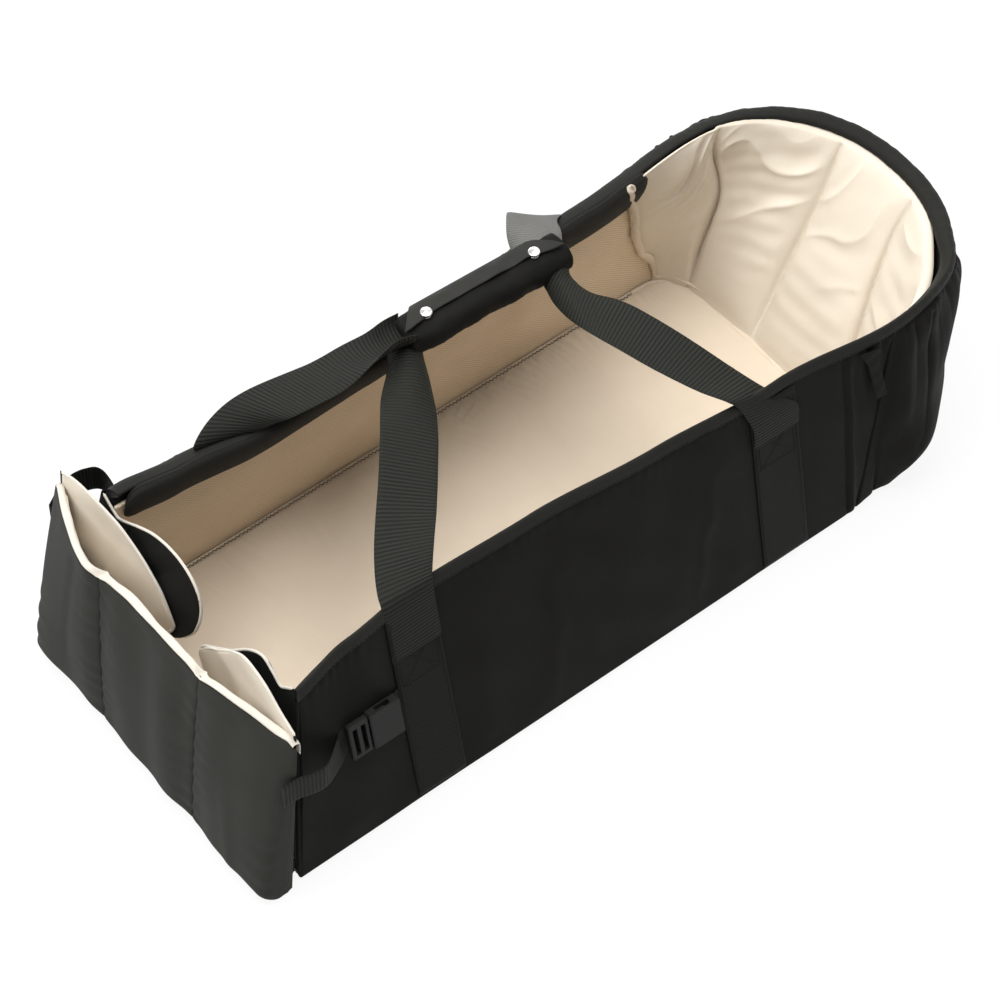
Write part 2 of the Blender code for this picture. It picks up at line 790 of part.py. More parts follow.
def handle_root(anchor_x, sign):
    """Lower outer edge of a handle's end, where it is sewn to its sling and bends."""
    return outer_wall(sign * (2 - side_share(anchor_x, 1)), 1) + Vector((0, sign * STRAP_GAP, HANDLE_LIFT))


def leg(anchor_x, sign, start_side, start_pull, wrap_end, end_pull, height):
    """Rings of a webbing leg from the rim to an end of the wrap, narrowing as it folds into it."""
    start = handle_root(anchor_x, sign) + Vector((0, 0, WEBBING_THICKNESS / 2))
    end = wrap_end + Vector((0, 0, height))
    mouth = end + Vector((end_pull.x, end_pull.y, 0)).normalized() * LEG_TUCK
    points = curve_points(start, start_pull, mouth, end_pull, LEG_POINTS) + [end]
    last = len(points) - 1
    sides, widths, thicknesses = [], [], []
    for i, point in enumerate(points):
        share = i / last
        ahead = points[min(i + 1, last)] - points[max(i - 1, 0)]
        level = Vector((ahead.y, -ahead.x, 0)).normalized()
        if level.dot(sides[-1] if sides else start_side) < 0:
            level = -level
        sides.append(start_side.lerp(level, min(1, share / TURN_END_SHARE)))
        late = min(1, max(0, share - FOLD_START_SHARE) / (FOLD_END_SHARE - FOLD_START_SHARE))
        widths.append(mix(WEBBING_WIDTH, FOLDED_WIDTH, late))
        thicknesses.append(mix(WEBBING_THICKNESS, FOLDED_THICKNESS, late))
    return ribbon_rings(points, sides, widths, thicknesses)


def wrap_frame():
    """Matrix whose X runs along the wrap from foot to head, with Y across it and Z up."""
    run = (WRAP_HEAD - WRAP_FOOT).normalized()
    across = Vector((0, 0, 1)).cross(run).normalized()
    up = run.cross(across)
    turn = Matrix((run, across, up)).transposed().to_4x4()
    return Matrix.Translation((WRAP_FOOT + WRAP_HEAD) / 2) @ turn


def make_handles():
    half = (FOLDED_THICKNESS + GAP) / 2
    run = (WRAP_HEAD - WRAP_FOOT).normalized()
    level = Vector((1, 0, 0))
    inward = Vector((0, 1, 0.2)) * NEAR_START_PULL
    dip = Vector((0, 0, -LEG_PART))
    foot_pull = dip - run * NEAR_FOOT_PULL
    foot_rings = leg(FOOT_SLING_X, -1, level, inward, WRAP_FOOT, foot_pull, -half)
    head_pull = dip + run * NEAR_HEAD_PULL
    head_rings = leg(HEAD_SLING_X, -1, level, inward, WRAP_HEAD, head_pull, -half)
    loft("near_handle_webbing", foot_rings + matched(head_rings[::-1], foot_rings), "webbing")
    outward = Vector((0.5, -1, 0.3)) * FAR_START_PULL
    above = half + GAP + GAP
    foot_pull = -run * FAR_FOOT_PULL - dip
    folded = Vector((0.88, 0.48, 0))
    far_rings = leg(FOOT_SLING_X, 1, folded, outward, WRAP_FOOT - run * GAP, foot_pull, above)
    loft("far_handle_foot_leg", far_rings, "webbing")
    outward = Vector((-0.5, -1, 0.3)) * FAR_START_PULL
    head_pull = run * FAR_HEAD_PULL - dip
    folded = Vector((0.88, -0.48, 0))
    far_rings = leg(HEAD_SLING_X, 1, folded, outward, WRAP_HEAD + run * GAP, head_pull, above)
    loft("far_handle_head_leg", far_rings, "webbing")
    side = Vector((0, 0, 1)).cross(run)
    points = [WRAP_FOOT + Vector((0, 0, above)), WRAP_HEAD + Vector((0, 0, above))]
    rings = ribbon_rings(points, [side] * 2, [FOLDED_WIDTH] * 2, [FOLDED_THICKNESS - GAP] * 2)
    loft("far_webbing_core", rings, "webbing")


def matched(rings, before):
    """Rings whose corners are matched to the last ring of the run before."""
    last = before[-1]
    found = []
    for ring in rings:
        best = None
        for flip in (ring, ring[::-1]):
            for k in range(len(ring)):
                turned = flip[k:] + flip[:k]
                miss = sum((a - b).length for a, b in zip(shifted(turned, last), last))
                if best is None or miss < best[0]:
                    best = (miss, turned)
        found.append(best[1])
        last = best[1]
    return found


def shifted(ring, target):
    """The ring moved so that its middle lies on the target's middle."""
    move = sum(target, Vector()) / len(target) - sum(ring, Vector()) / len(ring)
    return [p + move for p in ring]


def wrap_ring(x, width, height):
    """Round-cornered ring across the wrap at x."""
    ring = []
    for k in range(WRAP_SIDES):
        angle = 2 * math.pi * (k + 0.5) / WRAP_SIDES
        c, t = math.cos(angle), math.sin(angle)
        y = math.copysign(abs(c) ** CHANNEL_POWER, c) * width / 2
        z = math.copysign(abs(t) ** CHANNEL_POWER, t) * height / 2
        ring.append(Vector((x, y, z)))
    return ring


def make_wrap():
    frame = wrap_frame()
    half = (WRAP_HEAD - WRAP_FOOT).length / 2 - GAP
    rings = []
    for share, swell in WRAP_SECTION_SHARES:
        ring = wrap_ring(share * half, WRAP_WIDTH * swell, WRAP_HEIGHT * swell)
        rings.append([frame @ p for p in ring])
    sleeve = loft("grip_sleeve", rings, "shell_fabric")
    slot = block(
        "grip_slot",
        (-half - OVERRUN, -WRAP_SLOT_WIDTH / 2, -WRAP_SLOT_HEIGHT / 2),
        (half + OVERRUN, WRAP_SLOT_WIDTH / 2, WRAP_SLOT_HEIGHT / 2),
        "webbing",
        frame,
    )
    cut(sleeve, slot)
    seat = WRAP_HEIGHT / 2 + GAP
    leaf_foot = seat + STUD_HEIGHT + GAP
    for name, x in (("foot", STUD_INSET - half), ("head", half - STUD_INSET)):
        disc(name + "_snap_stud", frame, x, seat, STUD_RADIUS, STUD_HEIGHT)
        disc(name + "_snap_cap", frame, x, leaf_foot + LEAF_THICKNESS + GAP, CAP_RADIUS, CAP_HEIGHT)
    edge = WRAP_WIDTH / 2 - LEAF_MARGIN
    low, high = [], []
    for x in (-half + LEAF_MARGIN, 0, half - LEAF_MARGIN):
        inner, outer = [], []
        for y in (edge, edge / 2, 0, -edge / 2):
            drop = LEAF_LAND * max(0.0, y / edge) ** 3
            inner.append(frame @ Vector((x, y, leaf_foot - drop)))
            outer.append(frame @ Vector((x, y, leaf_foot - drop + LEAF_THICKNESS)))
        low.append(inner)
        high.append(outer)
    slab("grip_leaf", low, high, "shell_fabric")


def leaf_hinge():
    """Middle of the line along the wrap's far edge about which its leaf opens."""
    rise = WRAP_HEIGHT / 2 + STUD_HEIGHT + GAP + GAP - LEAF_LAND
    return wrap_frame() @ Vector((0, WRAP_WIDTH / 2 - LEAF_MARGIN, rise))


def disc(node, frame, x, z, radius, height):
    """A press stud's half on the wrap's middle line, at x along it and z above it."""
    rings = []
    for share, rise in STUD_SECTION_SHARES:
        ring = []
        for k in range(STUD_SIDES):
            angle = 2 * math.pi * k / STUD_SIDES
            c, s = math.cos(angle) * radius * share, math.sin(angle) * radius * share
            ring.append(frame @ Vector((x + c, s, z + height * rise)))
        rings.append(ring)
    loft(node, rings, "snap_metal")


def buckle_frame(sign):
    """Matrix on a side wall: X towards the head, Y up the wall and Z away from it."""
    v = BUCKLE_Z / RIM_HEIGHT
    reach = BUCKLE_WIDTH / 2 / RIM_HEIGHT
    low = side_point(BUCKLE_X, v - reach, sign)
    high = side_point(BUCKLE_X, v + reach, sign)
    up = (high - low).normalized()
    run = Vector((1, 0, 0))
    out = run.cross(up).normalized()
    if out.y * sign < 0:
        out = -out
    lift = BUCKLE_THICKNESS / 2 + BUCKLE_CLEARANCE + WEBBING_THICKNESS
    turn = Matrix((run, up, out)).transposed().to_4x4()
    return Matrix.Translation(low.lerp(high, 0.5) + out * lift) @ turn


def make_buckle(side, sign):
    frame = buckle_frame(sign)
    wide, thick = BUCKLE_WIDTH / 2, BUCKLE_THICKNESS / 2
    hollow = thick - BUCKLE_WALL
    plastic = "buckle_plastic"
    corners = (0, -wide, -thick), (SOCKET_LENGTH, wide, thick)
    socket = block(side + "_buckle_socket", *corners, plastic, frame)
    soften(socket, BUCKLE_EDGE)
    mouth = SOCKET_MOUTH / 2
    corners = (-OVERRUN, -mouth, -hollow), (SOCKET_CAVITY, mouth, hollow)
    cut(socket, block(side + "_cavity", *corners, plastic, frame))
    corners = (
        (WINDOW_START, -wide - OVERRUN, -hollow + GAP),
        (WINDOW_START + WINDOW_LENGTH, wide + OVERRUN, hollow - GAP),
    )
    cut(socket, block(side + "_window", *corners, plastic, frame))
    end = -GAP - GAP
    flat = CLIP_THICKNESS / 2
    corners = (end - CLIP_LENGTH, -wide, -flat), (end, wide, flat)
    clip = block(side + "_buckle_clip", *corners, plastic, frame)
    soften(clip, BUCKLE_EDGE)
    slot = SIDE_STRAP_WIDTH / 2 + GAP
    for number in range(2):
        edge = end - (number + 1) * BAR_WIDTH - number * SLOT_LENGTH
        corners = (edge - SLOT_LENGTH, -slot, -OVERRUN), (edge, slot, OVERRUN)
        cut(clip, block(side + "_ladder_" + str(number), *corners, plastic, frame))
    arm = ARM_THICKNESS / 2
    inner, outer = ARM_SPREAD - ARM_WIDTH / 2, ARM_SPREAD + ARM_WIDTH / 2
    tab = outer + TAB_REACH
    for name, turn in (("upper", 1), ("lower", -1)):
        outline = [
            (end + GAP, inner),
            (end + GAP, outer),
            (WINDOW_START + GAP, outer),
            (WINDOW_START + GAP, tab),
            (mix(WINDOW_START, ARM_LENGTH, CATCH_SHARE), tab),
            (ARM_LENGTH, outer),
            (ARM_LENGTH, inner),
        ]
        rings = []
        for z in (-arm, arm):
            rings.append([frame @ Vector((x, turn * y, z)) for x, y in outline])
        loft(side + "_clip_" + name + "_arm", rings, plastic)
    up = frame.to_3x3() @ Vector((0, 1, 0))
    under = thick + GAP + SIDE_STRAP_THICKNESS / 2
    tail = frame @ Vector((SOCKET_LENGTH - STRAP_TUCK, 0, -under))
    sling_edge = FOOT_SLING_X - WEBBING_WIDTH / 2 - GAP
    v = BUCKLE_Z / RIM_HEIGHT
    tuck = side_point(sling_edge - GAP, v, sign, STRAP_GAP + SIDE_STRAP_THICKNESS / 2)
    level = Vector((STRAP_TUCK / 2, 0, 0))
    points = curve_points(tail, level, tuck, -level, 5)
    strap(side + "_socket_strap", points, [up] * 5)
    under = flat + STRAP_GAP + SIDE_STRAP_THICKNESS / 2
    start = frame @ Vector((end - CLIP_LENGTH + STRAP_TUCK, 0, -under))
    leave = frame @ Vector((end - CLIP_LENGTH - STRAP_TUCK / 3, 0, -under))
    flap_x = flap_inner_x(FLAP_HALF_WIDTH, SIDE_STRAP_Z)
    beside = sign * (FLAP_HALF_WIDTH + STRAP_GAP + SIDE_STRAP_THICKNESS / 2)
    root = Vector((flap_x - SIDE_STRAP_WIDTH / 2, beside, SIDE_STRAP_Z))
    rim = Vector((flap_x + STRAP_TUCK / 2, beside, SIDE_STRAP_Z - GAP))
    bow = Vector((-SIDE_STRAP_WIDTH / 2, sign * SIDE_STRAP_BOW / 2, -SIDE_STRAP_BOW / 2))
    pull = Vector((SIDE_STRAP_WIDTH / 2, 0, -SIDE_STRAP_BOW / 2))
    points = [start] + curve_points(leave, bow, rim, pull, STRAP_POINTS) + [root]
    last = len(points) - 1
    sides = [up.lerp(Vector((0, 0, 1)), i / last) for i in range(last + 1)]
    strap(side + "_flap_strap", points, sides)


def strap(node, points, sides):
    """A narrow webbing strap through points."""
    count = len(points)
    widths, thicknesses = [SIDE_STRAP_WIDTH] * count, [SIDE_STRAP_THICKNESS] * count
    loft(node, ribbon_rings(points, sides, widths, thicknesses), "webbing")


def make_tab():
    """Short fabric tab that hangs from under the rim on the near side at the head."""
    low, high = [], []
    for x in (TAB_X - TAB_WIDTH / 2, TAB_X + TAB_WIDTH / 2):
        back, front = [], []
        for share in TAB_ROW_SHARES:
            v = wall_top(1) - share * TAB_LENGTH / RIM_HEIGHT
            lift = GAP + TAB_LIFT * share**2
            back.append(side_point(x, v, -1, lift))
            front.append(side_point(x, v, -1, lift + TAB_THICKNESS))
        low.append(back)
        high.append(front)
    slab("near_head_tab", low, high, "shell_fabric")


def set_origin(names, point):
    """Puts the origins of moving pieces on their joint's axis."""
    for name in names:
        item = bpy.data.objects[name]
        item.data.transform(Matrix.Translation(-point))
        item.location = point


def place_origins():
    flap = ["flap_shell", "flap_wadding", "flap_lining", "flap_top_binding"]
    flap += [side + end for side in ("near", "far") for end in ("_flap_strap", "_buckle_clip")]
    set_origin(flap, Vector((FLAP_AXIS_X, 0, FLAP_AXIS_Z)))
    for side, sign in (("near", -1), ("far", 1)):
        lines = gusset_lines(sign)
        set_origin([side + "_rear_gusset"], lines["rear"][0])
        set_origin([side + "_front_gusset"], lines["front"][0])
        arms = [side + "_clip_upper_arm", side + "_clip_lower_arm"]
        set_origin(arms, buckle_frame(sign).translation)
    for sign, names in (
        (-1, ("near_handle_webbing", "grip_sleeve", "far_webbing_core", "foot_snap_stud", "head_snap_stud")),
        (1, ("far_handle_foot_leg", "far_handle_head_leg")),
    ):
        set_origin(names, handle_root(FOOT_SLING_X, sign) + Vector((0, sign * HANDLE_BEND_OUT, 0)))
    set_origin(("grip_leaf", "foot_snap_cap", "head_snap_cap"), leaf_hinge())


def main():
    clear_scene()
    make_walls()
    make_rim()
    for side in ("near", "far"):
        make_roll(side)
    make_floor()
    make_slings()
    make_flap()
    make_gussets()
    make_handles()
    make_wrap()
    for side, sign in (("near", -1), ("far", 1)):
        make_buckle(side, sign)
    make_tab()
    place_origins()


main()
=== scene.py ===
import math

import bpy
import numpy as np
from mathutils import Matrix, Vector


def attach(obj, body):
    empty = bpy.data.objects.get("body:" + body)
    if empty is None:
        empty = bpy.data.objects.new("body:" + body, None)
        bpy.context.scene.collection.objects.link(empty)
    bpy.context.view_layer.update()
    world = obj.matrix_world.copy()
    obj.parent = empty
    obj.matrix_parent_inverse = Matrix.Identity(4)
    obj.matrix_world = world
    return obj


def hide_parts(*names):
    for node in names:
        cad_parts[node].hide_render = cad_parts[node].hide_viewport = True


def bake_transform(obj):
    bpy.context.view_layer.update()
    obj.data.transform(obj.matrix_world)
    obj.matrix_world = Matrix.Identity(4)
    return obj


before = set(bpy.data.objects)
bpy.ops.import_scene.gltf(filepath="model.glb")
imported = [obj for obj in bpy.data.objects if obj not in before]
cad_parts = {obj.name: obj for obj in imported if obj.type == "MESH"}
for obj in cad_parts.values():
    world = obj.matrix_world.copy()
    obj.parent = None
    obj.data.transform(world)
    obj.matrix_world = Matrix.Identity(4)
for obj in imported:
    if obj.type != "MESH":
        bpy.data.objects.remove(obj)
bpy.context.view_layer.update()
print("packed model loaded")

# Main sizes of the carrycot in metres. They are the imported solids' own, and every piece is laid on them.
cot = {
    "footX": -0.377,
    "seamX": 0.240,
    "headX": 0.302,
    "halfWidth": 0.165,
    "linerHeadX": 0.290,
    "rimFootX": -0.344,
    "headCentreX": 0.276,
    "headReach": 0.145,
    "headHalf": 0.150,
    "rimHeight": 0.226,
    "headRimHeight": 0.209,
    "footDip": 0.010,
    "dipShare": 0.16,
    "floorTop": 0.020,
    "wall": 0.0183,
    "liner": 0.0040,
    "headLiner": 0.0070,
    "slings": (-0.2255, 0.1570),
    "webbing": 0.050,
    "gap": 0.0003,
    "headSquare": 3.5,
    # how far the walls' tops lean inwards (negative: outwards), at places s round the rim
    "lean": (
        (-2.0, 0), (-1.4, 0), (-1.3, -0.0035), (-1.22, -0.0055), (-1.13, -0.0015), (-1.05, 0),
        (-0.9, 0), (-0.75, -0.003), (-0.6, -0.008), (-0.45, -0.0035), (-0.2, -0.003), (0.0, -0.0015),
        (0.15, -0.002), (0.32, 0), (0.5, 0.0035), (0.75, 0.0085), (0.92, 0.012), (1.04, 0.0125),
        (1.12, 0.007), (1.19, 0.0045), (1.28, 0.0065), (1.6, 0.0068), (1.86, 0.0062), (1.93, 0.001),
        (2.0, 0),
    ),
    # the rim's half width over the base's, from the foot (0) to the head seam (1)
    "rimShares": (
        (0, 0.80), (0.09, 0.745), (0.22, 0.695), (0.40, 0.715), (0.60, 0.775), (0.80, 0.805),
        (1, 0.909),
    ),
}
# half the gap at the head seam, as a share of the side wall's length
seamGap = cot["gap"] / (cot["seamX"] - cot["footX"]) / 2


# Plain arithmetic on arrays


def mixed(a, b, share):
    # a at share 0, b at share 1, in a straight line between
    return a + (b - a) * share


def eased(low, high, x):
    # 0 below low, 1 above high, and 3t² - 2t³ between them
    t = np.clip((x - low) / (high - low), 0, 1)
    return t * t * (3 - 2 * t)


def crowded(count, pull=0.8):
    # shares from 0 to 1 that lie closer at both ends: t less pull times sin(2 pi t) / (2 pi)
    t = np.linspace(0, 1, count)
    return t - pull * np.sin(2 * np.pi * t) / (2 * np.pi)


def squared(t, square):
    # half width of a squared oval, as a share, at share t of its length: (1 - t^square)^(1 / square)
    return (1 - t**square) ** (1 / square)


def unit(v):
    # each vector divided by its own length
    return v / np.maximum(np.linalg.norm(v, axis=-1, keepdims=True), 1e-12)


def stack(x, y, z):
    # three coordinates, stretched to one shape, as points
    return np.stack(np.broadcast_arrays(x, y, z), axis=-1)


def rippled(x, y, size, seed, count=7):
    # sum of sines along random directions, each about size metres long, mostly between -1 and 1
    dice = np.random.default_rng(seed)
    total = np.zeros(np.broadcast(x, y).shape)
    for turn, phase, stretch in dice.uniform((0, 0, 0.6), (2 * np.pi, 2 * np.pi, 1.7), (count, 3)):
        total += np.sin(2 * np.pi * (x * np.cos(turn) + y * np.sin(turn)) / (size * stretch) + phase)
    return total / (0.9 * count**0.5)


def bell(x, middle, width):
    # exp of minus the square of the distance from the middle in widths
    return np.exp(-(((x - middle) / width) ** 2))


def normals(grid):
    # cross product of the slopes along the grid's two directions, made one metre long
    return unit(np.cross(np.gradient(grid, axis=0), np.gradient(grid, axis=1)))


def lengths(line):
    # distance along a row of points from its first one
    return np.concatenate([[0], np.cumsum(np.linalg.norm(np.diff(line, axis=0), axis=1))])


def flatMap(grid):
    # how far each point lies along the grid's middle lines, in metres, as a pattern's two coordinates
    across = lengths(grid[:, grid.shape[1] // 2])
    along = lengths(grid[grid.shape[0] // 2])
    return np.stack(np.meshgrid(across, along, indexing="ij"), axis=-1)


def curveThrough(points, step=0.0025):
    # smooth curve through the points (each stretch a cubic whose slopes join its neighbours'), at equal steps
    p = np.array(points, float)
    ends = np.concatenate([[2 * p[0] - p[1]], p, [2 * p[-1] - p[-2]]])
    t = np.linspace(0, 1, 24, endpoint=False)[:, None]
    runs = []
    for k in range(len(p) - 1):
        a, b, c, d = ends[k : k + 4]
        runs.append(b + 0.5 * t * (c - a + t * (2 * a - 5 * b + 4 * c - d + t * (3 * (b - c) + d - a))))
    dense = np.concatenate(runs + [p[-1:]])
    far = lengths(dense[:, :3])
    even = np.linspace(0, far[-1], max(3, int(far[-1] / step)))
    return np.stack([np.interp(even, far, dense[:, k]) for k in range(dense.shape[1])], axis=-1)


# Meshes from grids of points


def addMesh(name, points, faces, flat, paints, paintIndex=None):
    # A smooth mesh from points and faces, with each point's two flat coordinates as its UV layer.
    mesh = bpy.data.meshes.new(name)
    mesh.from_pydata(points.reshape(-1, 3).tolist(), [], faces)
    obj = bpy.data.objects.new(name, mesh)
    bpy.context.scene.collection.objects.link(obj)
    corners = np.empty(len(mesh.loops), np.int32)
    mesh.loops.foreach_get("vertex_index", corners)
    layer = mesh.uv_layers.new(name="flat")
    layer.data.foreach_set("uv", flat.reshape(-1, 2)[corners].astype(np.float32).ravel())
    for paint in paints:
        mesh.materials.append(paint)
    if paintIndex is not None:
        mesh.polygons.foreach_set("material_index", np.array(paintIndex, np.int32))
    mesh.polygons.foreach_set("use_smooth", np.ones(len(mesh.polygons), bool))
    mesh.update()
    return obj


def quadsOf(index):
    # four neighbours of a grid of vertex numbers, in turn
    return np.stack([index[:-1, :-1], index[1:, :-1], index[1:, 1:], index[:-1, 1:]], axis=-1).reshape(-1, 4)


def clothBody(name, face, back, paints, round=0.0015, flat=None, edgePaint=-1):
    # Closed cloth between two grids. Near the border both close on their middle as a quarter circle does:
    # half thickness times the root of 1 - (1 - d)², where d is the distance to the border over round.
    if np.sum(np.cross(np.gradient(face, axis=0), np.gradient(face, axis=1)) * (face - back)) < 0:
        face, back = face[::-1], back[::-1]
        flat = None if flat is None else flat[::-1]
    flat = flatMap(face) if flat is None else flat
    own = flatMap(face)
    u, v = own[..., 0], own[..., 1]
    d = np.minimum(np.minimum(u, u[-1:] - u), np.minimum(v, v[:, -1:] - v)) / round
    full = np.sqrt(np.clip(1 - (1 - np.clip(d, 0.02, 1)) ** 2, 0, 1))[..., None]
    middle = (face + back) / 2
    face, back = mixed(middle, face, full), mixed(middle, back, full)
    n, m = face.shape[:2]
    front = np.arange(n * m).reshape(n, m)
    rear = front + n * m
    ring = np.concatenate([front[:-1, 0], front[-1, :-1], front[:0:-1, -1], front[0, :0:-1]])
    after = np.roll(ring, -1)
    side = np.stack([after, ring, ring + n * m, after + n * m], axis=-1)
    quads = [quadsOf(front), quadsOf(rear)[:, ::-1], side]
    last = len(paints) - 1
    index = np.repeat([0, last, last if edgePaint < 0 else edgePaint], [len(q) for q in quads])
    points = np.concatenate([face.reshape(-1, 3), back.reshape(-1, 3)])
    flat = np.concatenate([flat.reshape(-1, 2)] * 2)
    return addMesh(name, points, np.concatenate(quads).tolist(), flat, paints, index)


def sweptBody(name, rings, paints, capped=True, looped=False, flat=None):
    # Closed body through rings of points; each ring joins the next, and the two ends are capped.
    n, m = rings.shape[:2]
    index = np.arange(n * m).reshape(n, m)
    index = np.concatenate([index, index[:, :1]], axis=1)
    if looped:
        index = np.concatenate([index, index[:1]], axis=0)
    quads = quadsOf(index)
    a, b, c, d = (rings.reshape(-1, 3)[quads[:, k]] for k in range(4))
    volume = np.sum(a * (np.cross(b, c) + np.cross(c, d)))
    faces = quads.tolist()
    if capped and not looped:
        faces += [index[0, -2::-1].tolist(), index[-1, :-1].tolist()]
    if volume < 0:
        faces = [f[::-1] for f in faces]
    if flat is None:
        around = lengths(np.concatenate([rings[n // 2], rings[n // 2, :1]]))[:-1]
        along = lengths(rings.mean(axis=1))
        flat = np.stack(np.meshgrid(around, along), axis=-1)
    return addMesh(name, rings, faces, flat, paints)


def cordBody(name, line, radius, paints, sides=8):
    # Round cord: at each point of the line a circle across it, which closes to a tip at both ends.
    ahead = unit(np.gradient(line, axis=0))
    side = unit(np.cross(ahead, np.where(np.abs(ahead[:, 2:]) < 0.9, [[0.0, 0, 1]], [[1.0, 0, 0]])))
    up = np.cross(side, ahead)
    turn = np.arange(sides) / sides * 2 * np.pi
    far = lengths(line)
    radius = np.broadcast_to(radius, len(line))
    tip = np.sqrt(np.clip(1 - (1 - np.clip(np.minimum(far, far[-1] - far) / radius, 0.02, 1)) ** 2, 0, 1))
    ring = np.cos(turn)[None, :, None] * side[:, None] + np.sin(turn)[None, :, None] * up[:, None]
    return sweptBody(name, line[:, None] + ring * (radius * tip)[:, None, None], paints)


def strapRings(line, side, width, thickness, curl=None, columns=15):
    # Rings of a webbing strap: width across, thickness through, bent to an arc of curl radians in all.
    # The width keeps the direction it is given, also where the strap is pulled askew.
    ahead = unit(np.gradient(line, axis=0))
    side = unit(side)
    up = unit(np.cross(side, ahead))
    count = len(line)
    width, thickness = np.broadcast_to(width, count), np.broadcast_to(thickness, count)
    curl = np.full(count, 1e-4) if curl is None else np.maximum(curl, 1e-4)
    share = np.sin(np.linspace(-1, 1, columns) * np.pi / 2)
    bend = share[None] * (curl / 2)[:, None]
    arc = (width / curl)[:, None]
    x, z = arc * np.sin(bend), arc * (np.cos(bend) - 1)
    edge = np.sqrt(np.clip(1 - np.abs(share) ** 10, 0.12, 1))
    half = thickness[:, None] / 2 * edge
    lean = np.stack([np.sin(bend), np.cos(bend)], axis=-1)
    top = np.stack([x, z], axis=-1) + lean * half[..., None]
    low = np.stack([x, z], axis=-1) - lean * half[..., None]
    ring = np.concatenate([top, low[:, ::-1]], axis=1)
    rings = line[:, None] + side[:, None] * ring[..., :1] + up[:, None] * ring[..., 1:]
    around = np.concatenate([share, share[::-1]])[None] * (width / 2)[:, None]
    flat = np.stack([around, np.broadcast_to(lengths(line)[:, None], around.shape)], axis=-1)
    return rings, flat


def strapBody(name, line, side, width, thickness, paints, curl=None, columns=15):
    # the strap's rings joined into one closed body
    rings, flat = strapRings(line, side, width, thickness, curl, columns)
    return sweptBody(name, rings, paints, flat=flat)


def bars(name, centre, ahead, up, paints, length, thick):
    # Sewn stitches: one small rounded bar, repeated at the centres and turned along ahead.
    count = len(centre)
    ahead = unit(ahead)
    side = unit(np.cross(ahead, up))
    lift = np.cross(side, ahead)
    turn = np.arange(6) / 6 * 2 * np.pi
    t, r = np.array([-0.5, -0.32, 0.32, 0.5]), np.array([0.35, 1, 1, 0.35])
    ring = np.cos(turn)[:, None] * side[:, None, None] + np.sin(turn)[:, None] * lift[:, None, None]
    points = centre[:, None, None] + ring * (r * thick)[None, :, None, None]
    points = points + ahead[:, None, None] * (t * length)[None, :, None, None]
    index = np.arange(24).reshape(4, 6)
    loop = np.concatenate([index, index[:, :1]], axis=1)
    quads = quadsOf(loop)[:, ::-1]
    faces = (quads[None] + 24 * np.arange(count)[:, None, None]).reshape(-1, 4).tolist()
    caps = np.stack([index[0], index[3, ::-1]])
    faces += (caps[None] + 24 * np.arange(count)[:, None, None]).reshape(-1, 6).tolist()
    return addMesh(name, points, faces, np.zeros((count * 24, 2)), paints)


def stitches(name, line, up, paints, length=0.0026, gap=0.0012, thick=0.00045):
    # a row of stitches at equal steps along a line
    far = lengths(line)
    count = max(1, int(far[-1] / (length + gap)))
    at = (np.arange(count) + 0.5) * far[-1] / count
    centre = np.stack([np.interp(at, far, line[:, k]) for k in range(3)], axis=-1)
    ahead = np.stack([np.interp(at, far, np.gradient(line[:, k])) for k in range(3)], axis=-1)
    lift = np.stack([np.interp(at, far, up[:, k]) for k in range(3)], axis=-1)
    return bars(name, centre, ahead, lift, paints, length, thick)


def dress(obj, body, slot, *nodes):
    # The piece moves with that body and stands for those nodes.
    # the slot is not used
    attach(obj, body)
    if nodes:
        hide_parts(*nodes)
    return obj


# The cot's walls. s runs from -2 at the near foot corner through 0 at the head's tip to 2 at the far
# foot corner, and v from 0 at the ground to 1 at the top of the rim.


def rimShare(t):
    # the rim's half width over the base's, t of the way from the foot to the head seam
    shares = np.array(cot["rimShares"])
    t = np.clip(t, 0, 1)
    k = np.clip(np.searchsorted(shares[:, 0], t, side="left") - 1, 0, len(shares) - 2)
    return mixed(shares[k, 1], shares[k + 1, 1], eased(shares[k, 0], shares[k + 1, 0], t))


def rimHeightAt(s):
    # Level along the sides, lower by the foot dip times toe² at the foot corners, and down to the head's
    # own rim height by cos² of the way round the head.
    toe = np.maximum(0, 1 - (2 - np.abs(s)) / cot["dipShare"])
    head = mixed(cot["rimHeight"], cot["headRimHeight"], np.cos(s * np.pi / 2) ** 2)
    return np.where(np.abs(s) >= 1, cot["rimHeight"] - cot["footDip"] * toe**2, head)


def halfOval(s, centre, reach, half, square):
    # x is the centre plus reach times cos^(2/square), y is half the width times sin^(2/square)
    c, t = np.cos(s * np.pi / 2), np.sin(s * np.pi / 2)
    power = 2 / square
    return centre + reach * np.abs(c) ** power, np.sign(t) * half * np.abs(t) ** power


def endPlane(s, z):
    # x of a side wall's point at height z, between its slanted foot edge and head seam
    foot = mixed(cot["footX"], cot["rimFootX"], z / cot["rimHeight"])
    seam = mixed(cot["seamX"], cot["headCentreX"], z / cot["rimHeight"])
    return mixed(foot, seam, 2 - np.abs(s))


def baseLine(s, inset=0.0, headX=None):
    # the base's outline from above: straight sides and a squared oval round the head, moved in by inset
    half = cot["halfWidth"] - inset
    ovalX, ovalY = halfOval(s, cot["seamX"], (headX or cot["headX"]) - cot["seamX"], half, cot["headSquare"])
    straight = mixed(cot["footX"], cot["seamX"], 2 - np.abs(s))
    side = np.abs(s) >= 1
    return np.where(side, straight, ovalX), np.where(side, np.sign(s) * half, ovalY)


